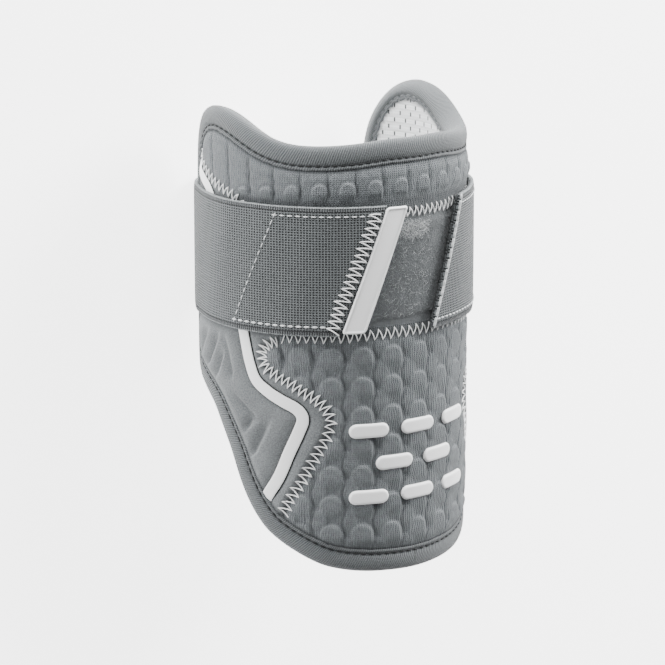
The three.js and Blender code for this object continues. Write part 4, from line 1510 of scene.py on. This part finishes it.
def make_seam_zigzags():
    parts = [
        (SEAM[SEAM[:, 1] < STRAP_BASE - 2.2], seam_pitch, 4.6, 0.24, 11),
        (SEAM[SEAM[:, 1] > STRAP_TOP - 2], 2.7, 4.0, 0.21, 12),
    ]
    lines = []
    for side in (-1, 1):
        for line, pitch, width, thread, seed in parts:
            kept = line[rim_depth(line[:, 0], line[:, 1]) > TAPE_OUTER_LEG + 1]
            lines.append(zigzag(kept * np.array([side, 1]), pitch, width, facing_radius, 0.2, thread, seed))
    lay_threads("seam_zigzag_threads", lines, 0.24, WHITE_THREAD, "pale_trim")


def make_patch_zigzags():
    across = np.linspace(across_of(-60), across_of(60), 240)
    base = np.stack([across, loop_base(across) - 0.2], -1)
    across = np.linspace(across_of(-30), across_of(45), 160)
    top = np.stack([across, loop_top(across) + 0.1], -1)
    lines = [
        zigzag(base, 3.1, 4.2, facing_radius, 0.3, 0.2, 21),
        zigzag(top, 2.6, 4.0, facing_radius, 0.3, 0.2, 22),
    ]
    lay_threads("patch_zigzag_threads", lines, 0.2, WHITE_THREAD, "pale_trim")


# Raised bars on the nose

BAR_LENGTH = 15.0
BAR_WIDTH = 5.6
BAR_PITCH_ACROSS = 20.0
BAR_PITCH_ALONG = 13.0
BAR_FIELD_CENTRE = -40.0


def make_bar(number, centre_across, centre_along):
    half = BAR_LENGTH / 2 - BAR_WIDTH / 2

    def margin(s, y):
        past = np.maximum(np.abs(s - centre_across) - half, 0)
        return BAR_WIDTH / 2 - np.hypot(past, y - centre_along)

    def radius(s, y):
        edge = np.clip(margin(s, y), 0, 1.1) / 1.1
        return FACING_RADIUS + 0.75 + 0.85 * np.sqrt(1 - (1 - edge)**2)

    span = (centre_across - BAR_LENGTH / 2 - 1, centre_across + BAR_LENGTH / 2 + 1)
    rows = (centre_along - BAR_WIDTH / 2 - 1, centre_along + BAR_WIDTH / 2 + 1)
    piece = cut_panel(f"front_bar_{number}_moulding", span, rows, 0.3, margin, radius, 1.2)
    dress(piece, PALE, "pale_trim", f"front_bar_{number}")


def make_bars():
    number = 0
    for row, count in enumerate((3, 2, 3)):
        for k in range(count):
            number += 1
            across = (k - (count - 1) / 2) * BAR_PITCH_ACROSS
            make_bar(number, across, BAR_FIELD_CENTRE + (1 - row) * BAR_PITCH_ALONG)


# Stage, light and camera

CAMERA_TURN = 38.5
CAMERA_TILT = 13.5
CAMERA_DISTANCE = 1300.0
PIXEL = 0.39
IMAGE_SIDE = 665
SENSOR = 36.0
AXIS_PIXEL = (332.0, 330.0)
FLOOR_HALF_SIZE = 6.0
FLOOR_GLOW = 3.6
SKY = 0.5


def make_floor():
    size = FLOOR_HALF_SIZE
    points = [(-size, -size, 0), (size, -size, 0), (size, size, 0), (-size, size, 0)]
    floor = mesh_object("floor", points, [(0, 1, 2, 3)])
    look = Finish("floor_paper", 0.9)
    grain = look.mottle(40.0)
    look.colour(look.mix(grain, (0.93, 0.93, 0.93), (0.96, 0.96, 0.96)))
    look.shader.inputs["Emission Color"].default_value = (1, 1, 1, 1)
    look.shader.inputs["Emission Strength"].default_value = FLOOR_GLOW
    floor.data.materials.append(look.material)


def camera_axes():
    turn, tilt = math.radians(CAMERA_TURN), math.radians(CAMERA_TILT)
    back = np.array([-math.sin(turn) * math.cos(tilt), math.sin(tilt), math.cos(turn) * math.cos(tilt)])
    right = np.cross(np.array([0, 1.0, 0]), back)
    right /= np.linalg.norm(right)
    return right, np.cross(back, right), back


def make_camera():
    right, up, back = camera_axes()
    target = np.array([0, -MID_LENGTH, AXIS_HEIGHT])
    centre = IMAGE_SIDE / 2
    target = target + right * (centre - AXIS_PIXEL[0]) * PIXEL - up * (centre - AXIS_PIXEL[1]) * PIXEL
    place = (target + back * CAMERA_DISTANCE) * MM
    data = bpy.data.cameras.new("camera")
    data.sensor_width = SENSOR
    data.lens = SENSOR * CAMERA_DISTANCE / PIXEL / IMAGE_SIDE
    data.clip_start = 0.05
    data.clip_end = 20
    camera = bpy.data.objects.new("camera", data)
    bpy.context.scene.collection.objects.link(camera)
    camera.matrix_world = Matrix([*zip(right, up, back, place), (0, 0, 0, 1)])
    bpy.context.scene.camera = camera


def make_light(name, offset, size, power):
    """A soft area light at an offset given along the camera's right, up and back."""
    right, up, back = camera_axes()
    target = np.array([0, 0, AXIS_HEIGHT]) * MM
    place = target + right * offset[0] + up * offset[1] + back * offset[2]
    data = bpy.data.lights.new(name, "AREA")
    data.energy = power
    data.size = size
    light = bpy.data.objects.new(name, data)
    bpy.context.scene.collection.objects.link(light)
    light.location = Vector(place)
    light.rotation_mode = "QUATERNION"
    light.rotation_quaternion = Vector(place - target).to_track_quat("Z", "Y")


def make_lights():
    make_light("right_softbox", (0.95, 0.6, 0.0), 0.6, 31.0)
    make_light("top_softbox", (0.0, 1.1, 0.5), 0.8, 42.0)
    make_light("left_softbox", (-1.0, 0.3, 0.2), 0.6, 9.0)
    world = bpy.data.worlds.new("studio")
    bpy.context.scene.world = world
    world.use_nodes = True
    background = world.node_tree.nodes["Background"]
    background.inputs["Color"].default_value = (1, 1, 1, 1)
    background.inputs["Strength"].default_value = SKY


make_core()
make_lining()
make_lower_panel()
make_upper_panel()
make_loop_panel()
make_fuzz()
for wing_side, wing_word in ((-1, "left"), (1, "right")):
    make_wing(wing_side, wing_word)
    make_stripe(wing_side, wing_word)
make_tape()
make_tape_stitches()
make_strap()
make_strap_stitches()
make_strap_cord()
make_tab()
make_tab_zigzag()
make_hook(-1, "left", STRAP_LEFT_END, -1.5)
# The right patch reaches past the strap's lifted end; its dark edge there is partly painted shadow.
make_hook(1, "right", STRAP_RIGHT_END, 0.6)
make_seam_zigzags()
make_patch_zigzags()
make_bars()
make_floor()
make_camera()
make_lights()
